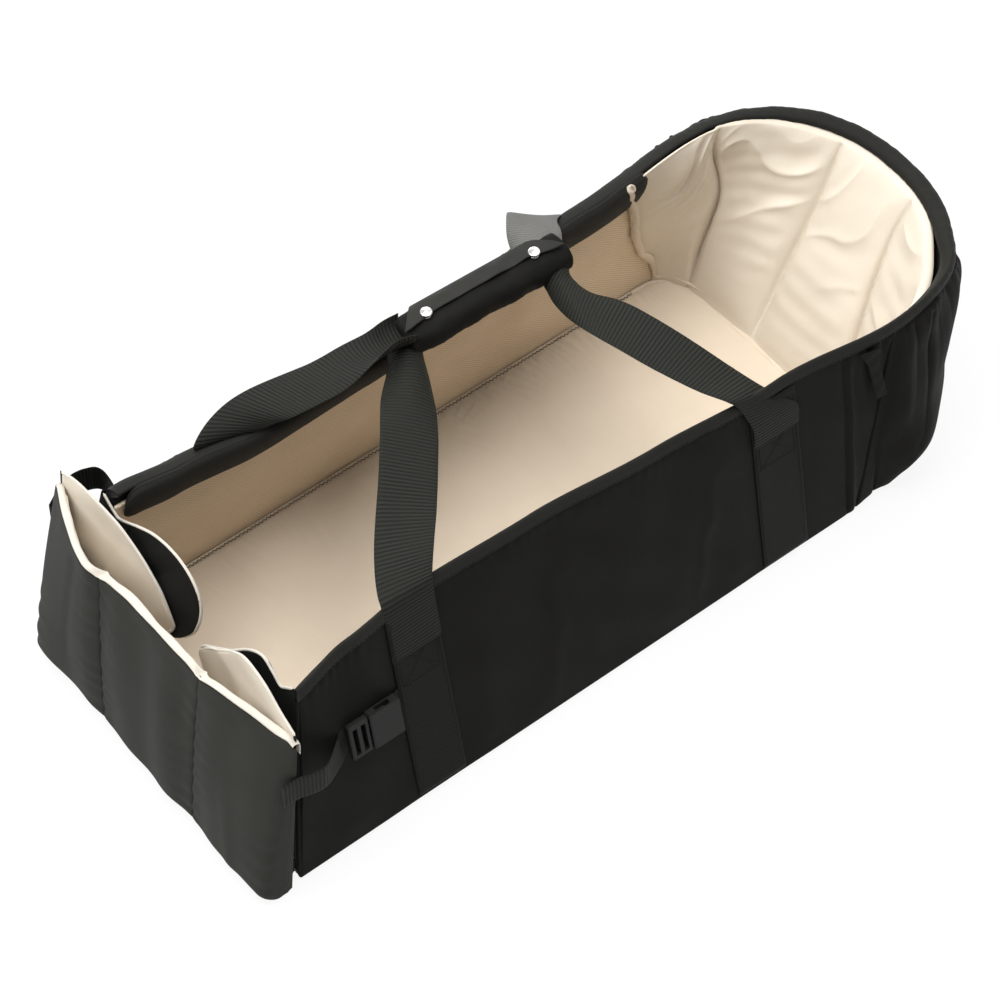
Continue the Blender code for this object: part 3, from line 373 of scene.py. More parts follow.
def rimLine(s, inset=0.0):
    # the rim's outline from above: the base's half width times the rim's share along the sides, and a
    # plain oval round the head
    ovalX, ovalY = halfOval(s, cot["headCentreX"], cot["headReach"] - inset, cot["headHalf"] - inset, 2)
    share = 2 - np.abs(s)
    half = cot["halfWidth"] * rimShare(share) - inset
    side = np.abs(s) >= 1
    straight = mixed(cot["rimFootX"], cot["headCentreX"], share)
    return np.where(side, straight, ovalX), np.where(side, np.sign(s) * half, ovalY)


def leanAt(s):
    # the table's lean, averaged over five places a little apart so that it has no corners
    table = np.array(cot["lean"])
    places = np.asarray(s)[..., None] + np.linspace(-0.05, 0.05, 5)
    return np.interp(places, table[:, 0], table[:, 1]).mean(axis=-1)


def leaned(points, s, v):
    # moved inwards, across the rim line, by the lean times v^1.5
    ahead = stack(*rimLine(np.asarray(s) + 0.004), 0) - stack(*rimLine(np.asarray(s) - 0.004), 0)
    inward = unit(stack(-ahead[..., 1], ahead[..., 0], 0))
    return points + inward * (leanAt(s) * np.clip(v, 0, 2) ** 1.5)[..., None]


def outerWall(s, v):
    # base line to rim line by 1 - (1 - v)^belly, where belly is 1 along the sides and 3 at the head's tip
    s, v = np.broadcast_arrays(np.asarray(s, float), np.asarray(v, float))
    belly = np.where(np.abs(s) < 1, mixed(1, 3, np.cos(s * np.pi / 2) ** 2), 1)
    reach = 1 - (1 - np.clip(v, 0, 1)) ** belly
    (bx, by), (rx, ry) = baseLine(s), rimLine(s)
    z = v * rimHeightAt(s)
    x = np.where(np.abs(s) >= 1, endPlane(s, z), mixed(bx, rx, reach) + cot["gap"])
    return leaned(stack(x, mixed(by, ry, reach), z), s, v)


def innerWall(s, v):
    # straight from the floor's edge to the rim's inner line
    s, v = np.broadcast_arrays(np.asarray(s, float), np.asarray(v, float))
    (bx, by), (rx, ry) = baseLine(s, cot["wall"], cot["linerHeadX"]), rimLine(s, cot["wall"])
    z = mixed(cot["floorTop"] + cot["gap"], rimHeightAt(s), v)
    drift = (endPlane(1.0, z) - mixed(cot["seamX"], cot["headCentreX"], v)) * s * s
    x = np.where(np.abs(s) >= 1, endPlane(s, z), mixed(bx, rx, v) + cot["gap"] + drift)
    return leaned(stack(x, mixed(by, ry, v), z), s, v)


def fromOutside(s, v, depth):
    # the outer wall's point, moved by depth straight towards the inner wall's
    start, end = outerWall(s, v), innerWall(s, v)
    return start + unit(end - start) * np.asarray(depth)[..., None]


def fromInside(s, v, depth):
    # the inner wall's point, moved by depth straight towards the outer wall's
    start, end = outerWall(s, v), innerWall(s, v)
    return end + unit(start - end) * np.asarray(depth)[..., None]


def onRim(s, across, rise):
    # point of the rim: across from the outer face towards the inside, and rise above the rim's height
    return fromOutside(s, 1 + rise / rimHeightAt(s), across)


def sideShare(x, v):
    # how far along a side wall, from the foot, its outer face reaches x at height share v
    start = mixed(cot["footX"], cot["rimFootX"], v)
    return (x - start) / (mixed(cot["seamX"], cot["headCentreX"], v) - start)


def onSide(x, v, sign, lift):
    # point on a side wall's outer face, lifted off it
    return fromOutside(sign * (2 - sideShare(x, v)), v, -np.asarray(lift) * np.ones(np.shape(v)))


# Materials


class Wire:
    # A socket in a node tree: sums written with it add the Math nodes that work them out.
    def __init__(self, board, socket):
        self.board, self.socket = board, socket

    def maths(self, kind, other=None, flipped=False):
        # one Math node on this socket and the other one or a number; flipped puts the other first
        inputs = {0: self} if other is None else ({0: other, 1: self} if flipped else {0: self, 1: other})
        return self.board.node("ShaderNodeMath", {"operation": kind}, inputs)

    def __add__(self, other):
        return self.maths("ADD", other)

    def __sub__(self, other):
        return self.maths("SUBTRACT", other)

    def __rsub__(self, other):
        return self.maths("SUBTRACT", other, True)

    def __mul__(self, other):
        return self.maths("MULTIPLY", other)

    __radd__ = __add__
    __rmul__ = __mul__

    def sine(self):
        return self.maths("SINE")

    def clipped(self):
        # kept between 0 and 1
        return self.board.node("ShaderNodeClamp", {}, {0: self})


class Board:
    # A node tree and the one way in which nodes are added to it.
    def __init__(self, tree):
        self.tree = tree

    def node(self, kind, settings, inputs, output=0):
        # a node of that type: its settings first, then a value or a link for each socket
        made = self.tree.nodes.new(kind)
        for name, value in settings.items():
            setattr(made, name, value)
        for name, value in inputs.items():
            self.feed(made.inputs[name], value)
        return Wire(self, made.outputs[output])

    def feed(self, socket, value):
        # a link for a wire, else a plain value
        if isinstance(value, Wire):
            self.tree.links.new(value.socket, socket)
        else:
            socket.default_value = value


class Paint(Board):
    # One material with its Principled shader.
    def __init__(self, name, **fixed):
        self.material = bpy.data.materials.new(name)
        self.material.use_nodes = True
        super().__init__(self.material.node_tree)
        self.shader = self.tree.nodes["Principled BSDF"]
        for socket, value in fixed.items():
            self.shader.inputs[socket.replace("_", " ")].default_value = value

    def mix(self, share, first, second):
        # the first colour at share 0 and the second at share 1
        return self.node("ShaderNodeMix", {"data_type": "RGBA"}, {0: share, 6: first, 7: second}, 2)

    def noise(self, size, detail=3.0):
        # soft noise from 0 to 1 over the object's own coordinates, its largest spots size metres wide
        place = self.node("ShaderNodeTexCoord", {}, {}, "Object")
        return self.node("ShaderNodeTexNoise", {}, {"Vector": place, "Scale": 1 / size, "Detail": detail})

    def flat(self):
        # the piece's own two coordinates in metres
        both = self.node("ShaderNodeUVMap", {"uv_map": "flat"}, {})
        return (
            self.node("ShaderNodeSeparateXYZ", {}, {0: both}, 0),
            self.node("ShaderNodeSeparateXYZ", {}, {0: both}, 1),
        )

    def bump(self, height, strength, distance):
        # the surface's slopes follow the height, up to the distance in metres
        made = self.node("ShaderNodeBump", {}, {"Height": height, "Strength": strength, "Distance": distance})
        self.feed(self.shader.inputs["Normal"], made)

    def base(self, colour):
        self.feed(self.shader.inputs["Base Color"], colour)

    def rough(self, value):
        self.feed(self.shader.inputs["Roughness"], value)


def rgb(*values):
    # a colour that hides what is behind it
    return (*values, 1.0)


fabrics = {
    # deep and high: the weave's darkest and lightest colour
    "shell": {
        "deep": (0.0062, 0.0060, 0.0054), "high": (0.0105, 0.0103, 0.0092),
        "rough": 0.60, "sheen": 0.02, "shine": 0.035,
    },
    # the shell cloth again, made lighter: painted light on the upward faces of the rim band and rolls
    "rim": {
        "deep": (0.0120, 0.0118, 0.0104), "high": (0.0190, 0.0186, 0.0164),
        "rough": 0.60, "sheen": 0.03, "shine": 0.05,
    },
    "flap": {
        "deep": (0.0215, 0.0215, 0.0188), "high": (0.0330, 0.0330, 0.0285),
        "rough": 0.62, "sheen": 0.02, "shine": 0.04,
    },
    "leaf": {
        "deep": (0.0190, 0.0188, 0.0170), "high": (0.0290, 0.0285, 0.0255),
        "rough": 0.6, "sheen": 0.02, "shine": 0.06,
    },
    "lining": {
        "deep": (0.60, 0.51, 0.40), "high": (0.69, 0.60, 0.485),
        "rough": 0.78, "sheen": 0.03, "shine": 0.2,
    },
    "head": {
        "deep": (0.62, 0.55, 0.45), "high": (0.70, 0.63, 0.53),
        "rough": 0.72, "sheen": 0.03, "shine": 0.25,
    },
    "piping": {
        "deep": (0.52, 0.485, 0.42), "high": (0.62, 0.58, 0.51),
        "rough": 0.8, "sheen": 0.03, "shine": 0.2,
    },
}


def wovenPaint(name, look, pitch=0.0007):
    # Plain weave: two crossed sets of threads, sin(u) over sin(v), under a slow change of shade.
    paint = Paint(name, Sheen_Weight=look["sheen"], Sheen_Roughness=0.5, Specular_IOR_Level=look["shine"])
    u, v = paint.flat()
    weave = (u * (2 * math.pi / pitch)).sine() * (v * (2 * math.pi / pitch)).sine()
    slow = paint.noise(0.05, 2.0)
    fine = paint.noise(0.0016, 4.0)
    share = (slow * 0.8 + fine * 0.45 + weave * 0.12 - 0.12).clipped()
    paint.base(paint.mix(share, rgb(*look["deep"]), rgb(*look["high"])))
    paint.rough((fine * 0.16 + (look["rough"] - 0.08)).clipped())
    paint.bump(weave * 0.5 + fine * 1.4, 0.35, 0.0002)
    return paint.material


def webbingPaint(name, deep, high, pitch=0.0036):
    # Ribbed webbing: ribs across the strap, sin(v), each broken into yarns by sin(u).
    paint = Paint(name, Sheen_Weight=0.01, Sheen_Roughness=0.45, Specular_IOR_Level=0.06)
    u, v = paint.flat()
    drift = paint.noise(0.012, 2.0) - 0.5
    rib = (v * (2 * math.pi / pitch) + drift * 1.6).sine()
    yarn = (u * (2 * math.pi / 0.0014) + rib * 0.8).sine()
    strength = paint.noise(0.02, 2.0)
    share = (0.5 + rib * 0.42 * strength * 1.6 + yarn * 0.10).clipped()
    paint.base(paint.mix(share, rgb(*deep), rgb(*high)))
    paint.rough((0.62 - share * 0.12).clipped())
    paint.bump(rib * 0.7 + yarn * 0.25, 0.55, 0.0005)
    return paint.material


def meshPaint():
    # Spacer mesh: round holes 3 mm apart, every other row shifted by half: a hole stands where
    # cos(u) + cos(v), the two directions crossing at 45 degrees, is near 2.
    paint = Paint("spacer_mesh", Sheen_Weight=0.03, Specular_IOR_Level=0.15)
    u, v = paint.flat()
    across, along = u * (2 * math.pi / 0.0044), v * (2 * math.pi / 0.0030)
    both = ((across + along) + math.pi / 2).sine() + ((across - along) + math.pi / 2).sine()
    holes = (both * 1.3 - 1.0).clipped()
    slow = paint.noise(0.06, 2.0)
    thread = paint.mix(slow, rgb(0.66, 0.55, 0.41), rgb(0.75, 0.64, 0.50))
    paint.base(paint.mix(holes, thread, rgb(0.33, 0.25, 0.165)))
    paint.rough((0.85 - holes * 0.1).clipped())
    paint.bump(1 - holes, 0.35, 0.0006)
    return paint.material


def plasticPaint():
    # Black plastic: a fine grain mixes two greys and roughens it from 0.34 to 0.54.
    paint = Paint("black_plastic", Specular_IOR_Level=0.12)
    grain = paint.noise(0.0011, 3.0)
    paint.base(paint.mix(grain, rgb(0.0100, 0.0100, 0.0095), rgb(0.0200, 0.0200, 0.0190)))
    paint.rough((grain * 0.2 + 0.34).clipped())
    paint.bump(grain, 0.25, 0.0001)
    return paint.material


def metalPaint():
    # Plated metal: worn patches mix two greys and roughen it from 0.14 to 0.32.
    paint = Paint("snap_metal", Metallic=1.0)
    wear = paint.noise(0.004, 4.0)
    paint.base(paint.mix(wear, rgb(0.42, 0.41, 0.39), rgb(0.58, 0.57, 0.54)))
    paint.rough((wear * 0.18 + 0.14).clipped())
    return paint.material


def threadPaint(name, deep, high):
    # Thread: fine twists mix its deep and high colour, roughness 0.55 to 0.75.
    paint = Paint(name, Sheen_Weight=0.02, Specular_IOR_Level=0.08)
    twist = paint.noise(0.0008, 2.0)
    paint.base(paint.mix(twist, rgb(*deep), rgb(*high)))
    paint.rough((twist * 0.2 + 0.55).clipped())
    return paint.material


def boardPaint():
    # Grey board: short fibres mix two greys, roughness 0.8 to 0.9.
    paint = Paint("grey_board")
    fibre = paint.noise(0.003, 5.0)
    paint.base(paint.mix(fibre, rgb(0.16, 0.14, 0.11), rgb(0.24, 0.21, 0.17)))
    paint.rough((fibre * 0.1 + 0.8).clipped())
    paint.bump(fibre, 0.3, 0.0003)
    return paint.material


shellCloth = wovenPaint("shell_cloth", fabrics["shell"])
# a lighter copy of the shell cloth: painted light where the rim band and rolls face the overhead lamps
litRimCloth = wovenPaint("lit_rim_cloth", fabrics["rim"])
flapCloth = wovenPaint("flap_cloth", fabrics["flap"])
leafCloth = wovenPaint("leaf_cloth", fabrics["leaf"])
liningCloth = wovenPaint("lining_cloth", fabrics["lining"])
headCloth = wovenPaint("head_cloth", fabrics["head"])
pipingCloth = wovenPaint("piping_cloth", fabrics["piping"])
spacerMesh = meshPaint()
ribbedWebbing = webbingPaint("ribbed_webbing", (0.0075, 0.0078, 0.0064), (0.0230, 0.0240, 0.0200))
sewnWebbing = webbingPaint("sewn_webbing", (0.0062, 0.0064, 0.0055), (0.0112, 0.0116, 0.0100), 0.0019)
# lighter webbing for the far head leg: partly a paler grey, partly a painted highlight for its lit face
paleLitWebbing = webbingPaint("lit_webbing", (0.105, 0.104, 0.098), (0.165, 0.163, 0.153), 0.0019)
blackPlastic = plasticPaint()
snapMetal = metalPaint()
blackThread = threadPaint("black_thread", (0.004, 0.004, 0.004), (0.016, 0.016, 0.015))
brownThread = threadPaint("brown_thread", (0.085, 0.055, 0.033), (0.17, 0.115, 0.075))
greyBoard = boardPaint()
print("materials made")


# Outer walls

sideLook = {
    "columns": 320,
    "rows": 90,
    "hem": 0.006,
    # how far below the rim line the cloth ends, under the rim band
    "topDrop": 0.0115,
    "bulge": 0.0030,
    "pucker": 0.0007,
    "crease": 0.0012,
    # the long creases: x at the ground, how far each leans per metre of height, width, share of the depth
    "creases": ((-0.115, 0.22, 0.008, 1), (-0.035, -0.30, 0.011, 0.8), (0.055, 0.16, 0.008, 0.8)),
    # the sharp pleat: x at 20 mm of height, and how far it leans per metre of height
    "pleatX": 0.231,
    "pleatLean": -0.05,
}


def slingRoom(x):
    # 0 under the slings, where they press the wall flat, and 1 away from them
    room = 1.0
    for middle in cot["slings"]:
        room = room * eased(0.022, 0.062, np.abs(x - middle))
    return room


def backLimit(s, drop, depth):
    # the wall's filling keeps below the rim's slope: no deeper than 1.5 mm and 0.62 of the drop near the top
    near = eased(-0.55, -0.9, s)
    limit = mixed(depth, np.minimum(depth, 0.0015 + 0.62 * drop), near)
    return mixed(limit, np.minimum(depth, 0.003 + 0.9 * drop), eased(0.6, 0.9, s))


def makeSideCover(side):
    # Face: the outer wall, its foot rolled under by a quarter circle, pushed out by a low bulge between
    # the slings, sin(pi v)^0.7, by puckers under the rim's seam, by long slanting creases and by one sharp
    # pleat before the head: a ridge and a groove side by side.
    look = sideLook
    sign = -1 if side == "near" else 1
    t, w = np.meshgrid(crowded(look["columns"], 0.6), crowded(look["rows"], 0.6), indexing="ij")
    s = sign * (2 - mixed(0, 1 - seamGap, t))
    top = 1 - look["topDrop"] / rimHeightAt(s)
    v = w * top
    z = v * rimHeightAt(s)
    outer = outerWall(s, v)
    x = outer[..., 0]
    wave = rippled(x, z, 0.07, 11 + sign)
    below = np.clip(top * rimHeightAt(s) - z, 0, 1)
    seamWave = np.sin(2 * np.pi * (x / 0.013 + 0.35 * rippled(x, z, 0.06, 5 + sign)))
    creases = np.zeros_like(x)
    for middle, lean, width, deep in look["creases"]:
        fade = eased(0.0, 0.05, z) * eased(0.2, 0.12, z)
        creases += deep * bell(x - lean * z, middle + 0.004 * wave, width) * fade
    gathered = eased(0.90, 1.0, t) * np.sin(2 * np.pi * (x / 0.017 + 0.6 * z / 0.1)) * np.exp(-below / 0.05)
    pleatAt = look["pleatX"] + look["pleatLean"] * (z - 0.02)
    pleat = bell(x, pleatAt + 0.0045, 0.0035) * 0.0024 - bell(x, pleatAt, 0.0020) * 0.0022
    pleat = pleat * eased(0, 0.015, z)
    out = look["bulge"] * np.sin(np.pi * np.clip(v / top, 0, 1)) ** 0.7 * slingRoom(x) * (1 - t**8)
    out = out + look["pucker"] * seamWave * np.exp(-below / 0.013) * slingRoom(x)
    out = out + 0.0007 * wave * slingRoom(x) * eased(0, 0.03, z) * eased(0.0, 0.02, below)
    out = out + look["crease"] * creases * slingRoom(x) + 0.0020 * gathered + pleat * eased(0.0, 0.012, below)
    roll = np.clip(z / look["hem"], 0, 1)
    out = out - look["hem"] * (1 - np.sqrt(1 - (1 - roll) ** 2))
    face = outer + stack(0, sign, 0) * out[..., None]
    depth = cot["wall"] - cot["liner"] - cot["gap"]
    back = fromOutside(s, v, backLimit(s, rimHeightAt(s) - z, np.full(v.shape, depth)))
    cover = clothBody(side + "_side_cover", face, back, [shellCloth], 0.002)
    dress(cover, "tub", "shell_fabric", side + "_side_shell", side + "_side_foam")


headLook = {
    "columns": 520,
    "rows": 110,
    "hem": 0.012,
    # how far below the rim line the cloth ends, under the rim band
    "topDrop": 0.0125,
    "fold": 0.0068,
    "foldWidth": 0.0235,
    # metres round the head for each 1 of s
    "round": 0.255,
    # how far the loose cloth stands out at heights above the ground
    "pouch": (
        (0, 0.005), (0.012, 0.014), (0.03, 0.023), (0.055, 0.028), (0.08, 0.026), (0.11, 0.020), (0.14, 0.012),
        (0.17, 0.005), (0.2, 0),
    ),
    # the s that the pouch reaches to at heights above the ground
    "ends": ((0, 0.86), (0.02, 0.89), (0.06, 0.94), (0.11, 1.0), (0.16, 1.03), (0.22, 1.05)),
}


def makeHeadCover():
    # Face: the swelling outer wall plus a pouch of loose cloth from the table, and folds that hang from
    # the rim's seam, each a sharp groove, |sin|^0.6 of the way round, fading by exp(-(drop / reach)^1.3)
    # over a reach of 15 to 75 mm.
    look = headLook
    end = 1 - seamGap
    s, w = np.meshgrid(np.linspace(-end, end, look["columns"]), crowded(look["rows"], 0.6), indexing="ij")
    height = rimHeightAt(s)
    top = 1 - look["topDrop"] / height
    v = w * top
    outer, inner = outerWall(s, v), innerWall(s, v)
    z = outer[..., 2]
    away = unit((outer - inner) * np.array([1, 1, 0.0]))
    around = s * look["round"]
    below = top * height - z
    table = np.array(look["pouch"])
    heights = z[..., None] + np.linspace(-0.008, 0.008, 5)
    pouch = np.interp(heights, table[:, 0], table[:, 1]).mean(axis=-1)
    ends = np.array(look["ends"])
    q = np.abs(s) - np.interp(z, ends[:, 0], ends[:, 1])
    pouch = pouch * eased(0.0, -0.12, q) * (1 - 0.32 * eased(0.5, 0.85, np.abs(s)))
    pouch = pouch * (1 - 0.35 * bell(s, 0, 0.35)) * (1 + 0.16 * rippled(around, z, 0.14, 20))
    drift = 0.40 * rippled(around, z * 0.25, 0.08, 21) + 0.18 * rippled(around, z, 0.12, 22)
    fold = np.abs(np.sin(np.pi * (around / look["foldWidth"] + drift))) ** 0.6
    minor = np.abs(np.sin(np.pi * (around / 0.0105 + 1.2 * drift))) ** 0.8
    reach = 0.045 + 0.030 * rippled(around, z * 0.0, 0.05, 25)
    hang = np.exp(-((below / np.clip(reach, 0.015, 1)) ** 1.3))
    hang = hang * (0.75 + 0.35 * rippled(around, z * 0.3, 0.07, 23))
    out = look["fold"] * (fold - 0.80) * hang * eased(0.0, 0.010, below)
    out = out + 0.0013 * (minor - 0.6) * np.exp(-below / 0.018)
    out = out + 0.0014 * rippled(around * 1.4, z * 0.8, 0.060, 24) * eased(0.01, 0.06, z)
    swell = np.sqrt(np.clip(1 - (1 - np.clip(below / 0.030, 0, 1)) ** 2, 0, 1))
    out = out + 0.0062 * swell * eased(1.0, 0.9, np.abs(s)) * eased(0.02, 0.10, z)
    out = out - 0.0030 * bell(q, 0.012, 0.014) * eased(0, 0.03, below)
    edge = eased(0, 0.05, 1 - np.abs(s))
    out = (out + pouch) * (0.15 + 0.85 * edge)
    roll = np.clip(z / look["hem"], 0, 1)
    out = out - look["hem"] * (1 - np.sqrt(1 - (1 - roll) ** 2)) * (0.5 + 0.5 * edge)
    face = outer + away * out[..., None]
    depth = cot["wall"] - cot["headLiner"] - cot["gap"]
    back = fromOutside(s, v, backLimit(s, height - z, np.full(v.shape, depth)))
    cover = clothBody("head_cover", face, back, [shellCloth], 0.002)
    dress(cover, "tub", "shell_fabric", "head_shell", "head_wadding")


# Sections of the rim in millimetres: distance across from the outer face, height above the rim line.
rimLook = {
    "sections": 620,
    "near": (
        (0.4, -13.6), (-0.9, -12.4), (-1.5, -8), (-1.0, -3.6), (1.2, -0.3), (3.9, -2.0), (6.4, -6.2),
        (8.4, -10.4),
    ),
    "head": (
        (0.4, -14.6), (-0.9, -13.2), (-1.4, -8), (-0.2, -2.6), (4.0, 0.6), (10.5, 1.2), (15.6, -0.6),
        (17.4, -5.0),
    ),
    "far": (
        (0.8, -16.0), (0.6, -14.0), (1.6, -9.5), (3.8, -5.6), (7.6, -2.6), (12.0, -1.0), (16.2, -0.9),
        (17.6, -3.4),
    ),
}


def blendSections(s, near, head, far):
    # near to head between s = -0.85 and -0.2, head to far between s = 0.3 and 0.85
    toHead, toFar = eased(-0.85, -0.2, s)[..., None], eased(0.3, 0.85, s)[..., None]
    return mixed(mixed(near, head, toHead), far, toFar)


def sectionCurve(points, count):
    # a smooth curve through a drawn section's points, at that many equal steps
    fine = curveThrough(np.array(points, float), 0.05)
    far = lengths(fine)
    even = np.linspace(0, far[-1], count)
    return np.stack([np.interp(even, far, fine[:, k]) for k in range(2)], axis=-1)


def makeRimBand():
    # A narrow padded edge all round: three drawn sections blended along the rim, with faint dents.
    look = rimLook
    s = mixed(-2, 2, np.linspace(0, 1, look["sections"]))[:, None]
    curves = [sectionCurve(look[k], 26)[None] for k in ("near", "head", "far")]
    both = blendSections(s, *curves)
    across, rise = both[..., 0], both[..., 1]
    tail = [0.75, 0.5, 0.25]
    low = np.stack([mixed(across[:, 0], across[:, -1], k) for k in tail], axis=-1)
    down = np.stack([mixed(rise[:, 0], rise[:, -1], k) - 2.2 for k in tail], axis=-1)
    across, rise = np.concatenate([across, low], axis=1), np.concatenate([rise, down], axis=1)
    place = s * 0.5 + 0 * across
    dent = 0.25 * rippled(place, across * 0.002, 0.05, 31) + 0.12 * rippled(place, across * 0.002, 0.016, 32)
    rings = onRim(s, (across - 0.6 * dent) / 1000, (rise + 0.6 * dent) / 1000)
    # the band wears the lighter rim cloth: painted light on its upward face
    band = sweptBody("rim_band", rings, [litRimCloth])
    dress(band, "tub", "shell_fabric", "rim_binding")
    keep = slice(4, -4)
    line = rings[keep, 3] + unit(rings[keep, 3] - rings[keep, -2]) * 0.0002
    row = stitches("rim_stitching", line, unit(rings[keep, 3] - rings[keep, -2]), [blackThread], 0.0030, 0.0014)
    dress(row, "tub", "shell_fabric")


rollLook = {
    "sections": 260,
    # shares of the side wall's length between which the roll lies, and its length in metres
    "ends": (0.012, 0.915),
    "length": 0.585,
    "near": (
        (5.5, -5.6), (8.3, -10.2), (12.3, -16.8), (16.8, -24.2), (21.6, -32.4), (25.6, -40),
        (27.6, -47), (27.0, -54), (23.6, -58.6), (19.4, -60), (18.6, -52), (17.6, -38), (13.4, -24),
        (9.0, -15), (5.9, -8.6), (5.5, -5.6),
    ),
    "far": (
        (15.4, -1.2), (18.0, -1.0), (21.0, -2.6), (23.9, -6.4), (25.9, -12.6), (26.9, -20.6),
        (26.9, -29.6), (26.0, -38.6), (23.6, -45.4), (19.8, -49.2), (18.7, -42), (18.6, -30),
        (18.4, -18), (17.0, -9), (15.2, -4), (15.4, -1.2),
    ),
}


def makeRoll(side):
    # Padded roll: one drawn closed section led along the wall; both ends shrink to their middle as half
    # circles do, and slow ripples thicken and thin it a little.
    look = rollLook
    sign = -1 if side == "near" else 1
    share = crowded(look["sections"], 0.93)[:, None]
    s = sign * (2 - mixed(*look["ends"], share))
    curve = sectionCurve(look[side], 53)[None, :-1]
    middle = curve.mean(axis=1, keepdims=True)
    away = np.minimum(share, 1 - share) * look["length"]
    end = np.clip(away / 0.013, 0.0015, 1)
    full = np.sqrt(1 - (1 - end) ** 2)[..., None]
    along, height = share * look["length"], curve[..., 1] * 0.001
    puff = 1 + 0.018 * rippled(along, height, 0.045, 43 + sign) + 0.014 * rippled(along, height, 0.11, 45)
    gather = np.sin(2 * np.pi * curve[..., 1] / 8.5) * np.exp(-away / 0.012) * 0.06
    size = (mixed(0.12, 1, full[..., 0]) * (puff + gather))[..., None]
    section = middle + (curve - middle) * size
    rings = onRim(s, section[..., 0] / 1000, section[..., 1] / 1000)
    # the roll wears the lighter rim cloth: painted light on its upward face
    roll = sweptBody(side + "_roll", rings, [litRimCloth])
    dress(roll, "tub", "shell_fabric", side + "_rim_roll")
    keep = slice(14, -14)
    column = 2 if side == "far" else 3
    outwards = unit(rings[keep, column] - rings[keep].mean(axis=1))
    line = rings[keep, column] + outwards * 0.0002
    row = stitches(side + "_roll_stitching", line, outwards, [blackThread], 0.0028, 0.0014)
    dress(row, "tub", "shell_fabric")


meshLook = {
    "columns": 280,
    "rows": 60,
    # the s where it ends under the head quilt, and how far below the rim line it ends on each side
    "headEnd": 0.84,
    "near": 0.036,
    "far": 0.020,
    # depths of the slow and the small ripples
    "wave": 0.0018,
    "ripple": 0.0004,
}


def makeMeshLiner(side):
    # Face: the inner wall, waved in and out by slow ripples that die out at its seams.
    look = meshLook
    sign = -1 if side == "near" else 1
    t, w = np.meshgrid(crowded(look["columns"], 0.5), crowded(look["rows"], 0.7), indexing="ij")
    s = sign * mixed(2, look["headEnd"], t)
    v = mixed(-0.03, 1 - look[side] / rimHeightAt(s), w)
    inner = innerWall(s, v)
    x, z = inner[..., 0], inner[..., 2]
    calm = np.sin(np.pi * w) ** 0.5 * eased(0, 0.05, t) * eased(1, 0.86, t)
    out = look["wave"] * rippled(x, z * 1.6, 0.10, 51 + sign) + look["ripple"] * rippled(x, z, 0.025, 53 + sign)
    face = fromInside(s, v, -(out * calm + 0.0002))
    back = fromInside(s, v, np.full(v.shape, cot["liner"]))
    liner = clothBody(side + "_spacer_liner", face, back, [spacerMesh], 0.0012)
    dress(liner, "tub", "mesh_fabric", side + "_mesh_liner")


for side in ("near", "far"):
    makeSideCover(side)
    makeRoll(side)
    makeMeshLiner(side)
makeHeadCover()
makeRimBand()
print("walls dressed")


# Head liner

headLinerLook = {
    "columns": 560,
    "rows": 130,
    "rise": 0.0140,
    # metres round the head for each 1 of s
    "round": 0.235,
    # the front edge's s at height shares v
    "front": ((0, 0.87), (0.08, 0.94), (0.21, 1.010), (0.47, 1.056), (0.72, 1.088), (0.93, 1.125), (1, 1.13)),
    # each sewn line's s at height shares v
    "seams": (
        ((0, -0.50), (0.5, -0.58), (1, -0.80)),
        ((0, -0.21), (0.34, -0.20), (0.52, -0.18), (0.78, -0.17), (1, -0.21)),
        ((0, 0.05), (0.21, 0.07), (0.49, 0.11), (0.71, 0.15), (1, 0.23)),
        ((0, 0.47), (0.20, 0.54), (0.52, 0.60), (0.62, 0.66), (0.78, 0.78), (0.88, 0.82), (1, 0.83)),
    ),
}


def alongTable(table, v):
    # the table's value at v, averaged over five near places so that it bends softly
    table = np.array(table)
    places = np.asarray(v)[..., None] + np.linspace(-0.06, 0.06, 5)
    return np.interp(places, table[:, 0], table[:, 1]).mean(axis=-1)


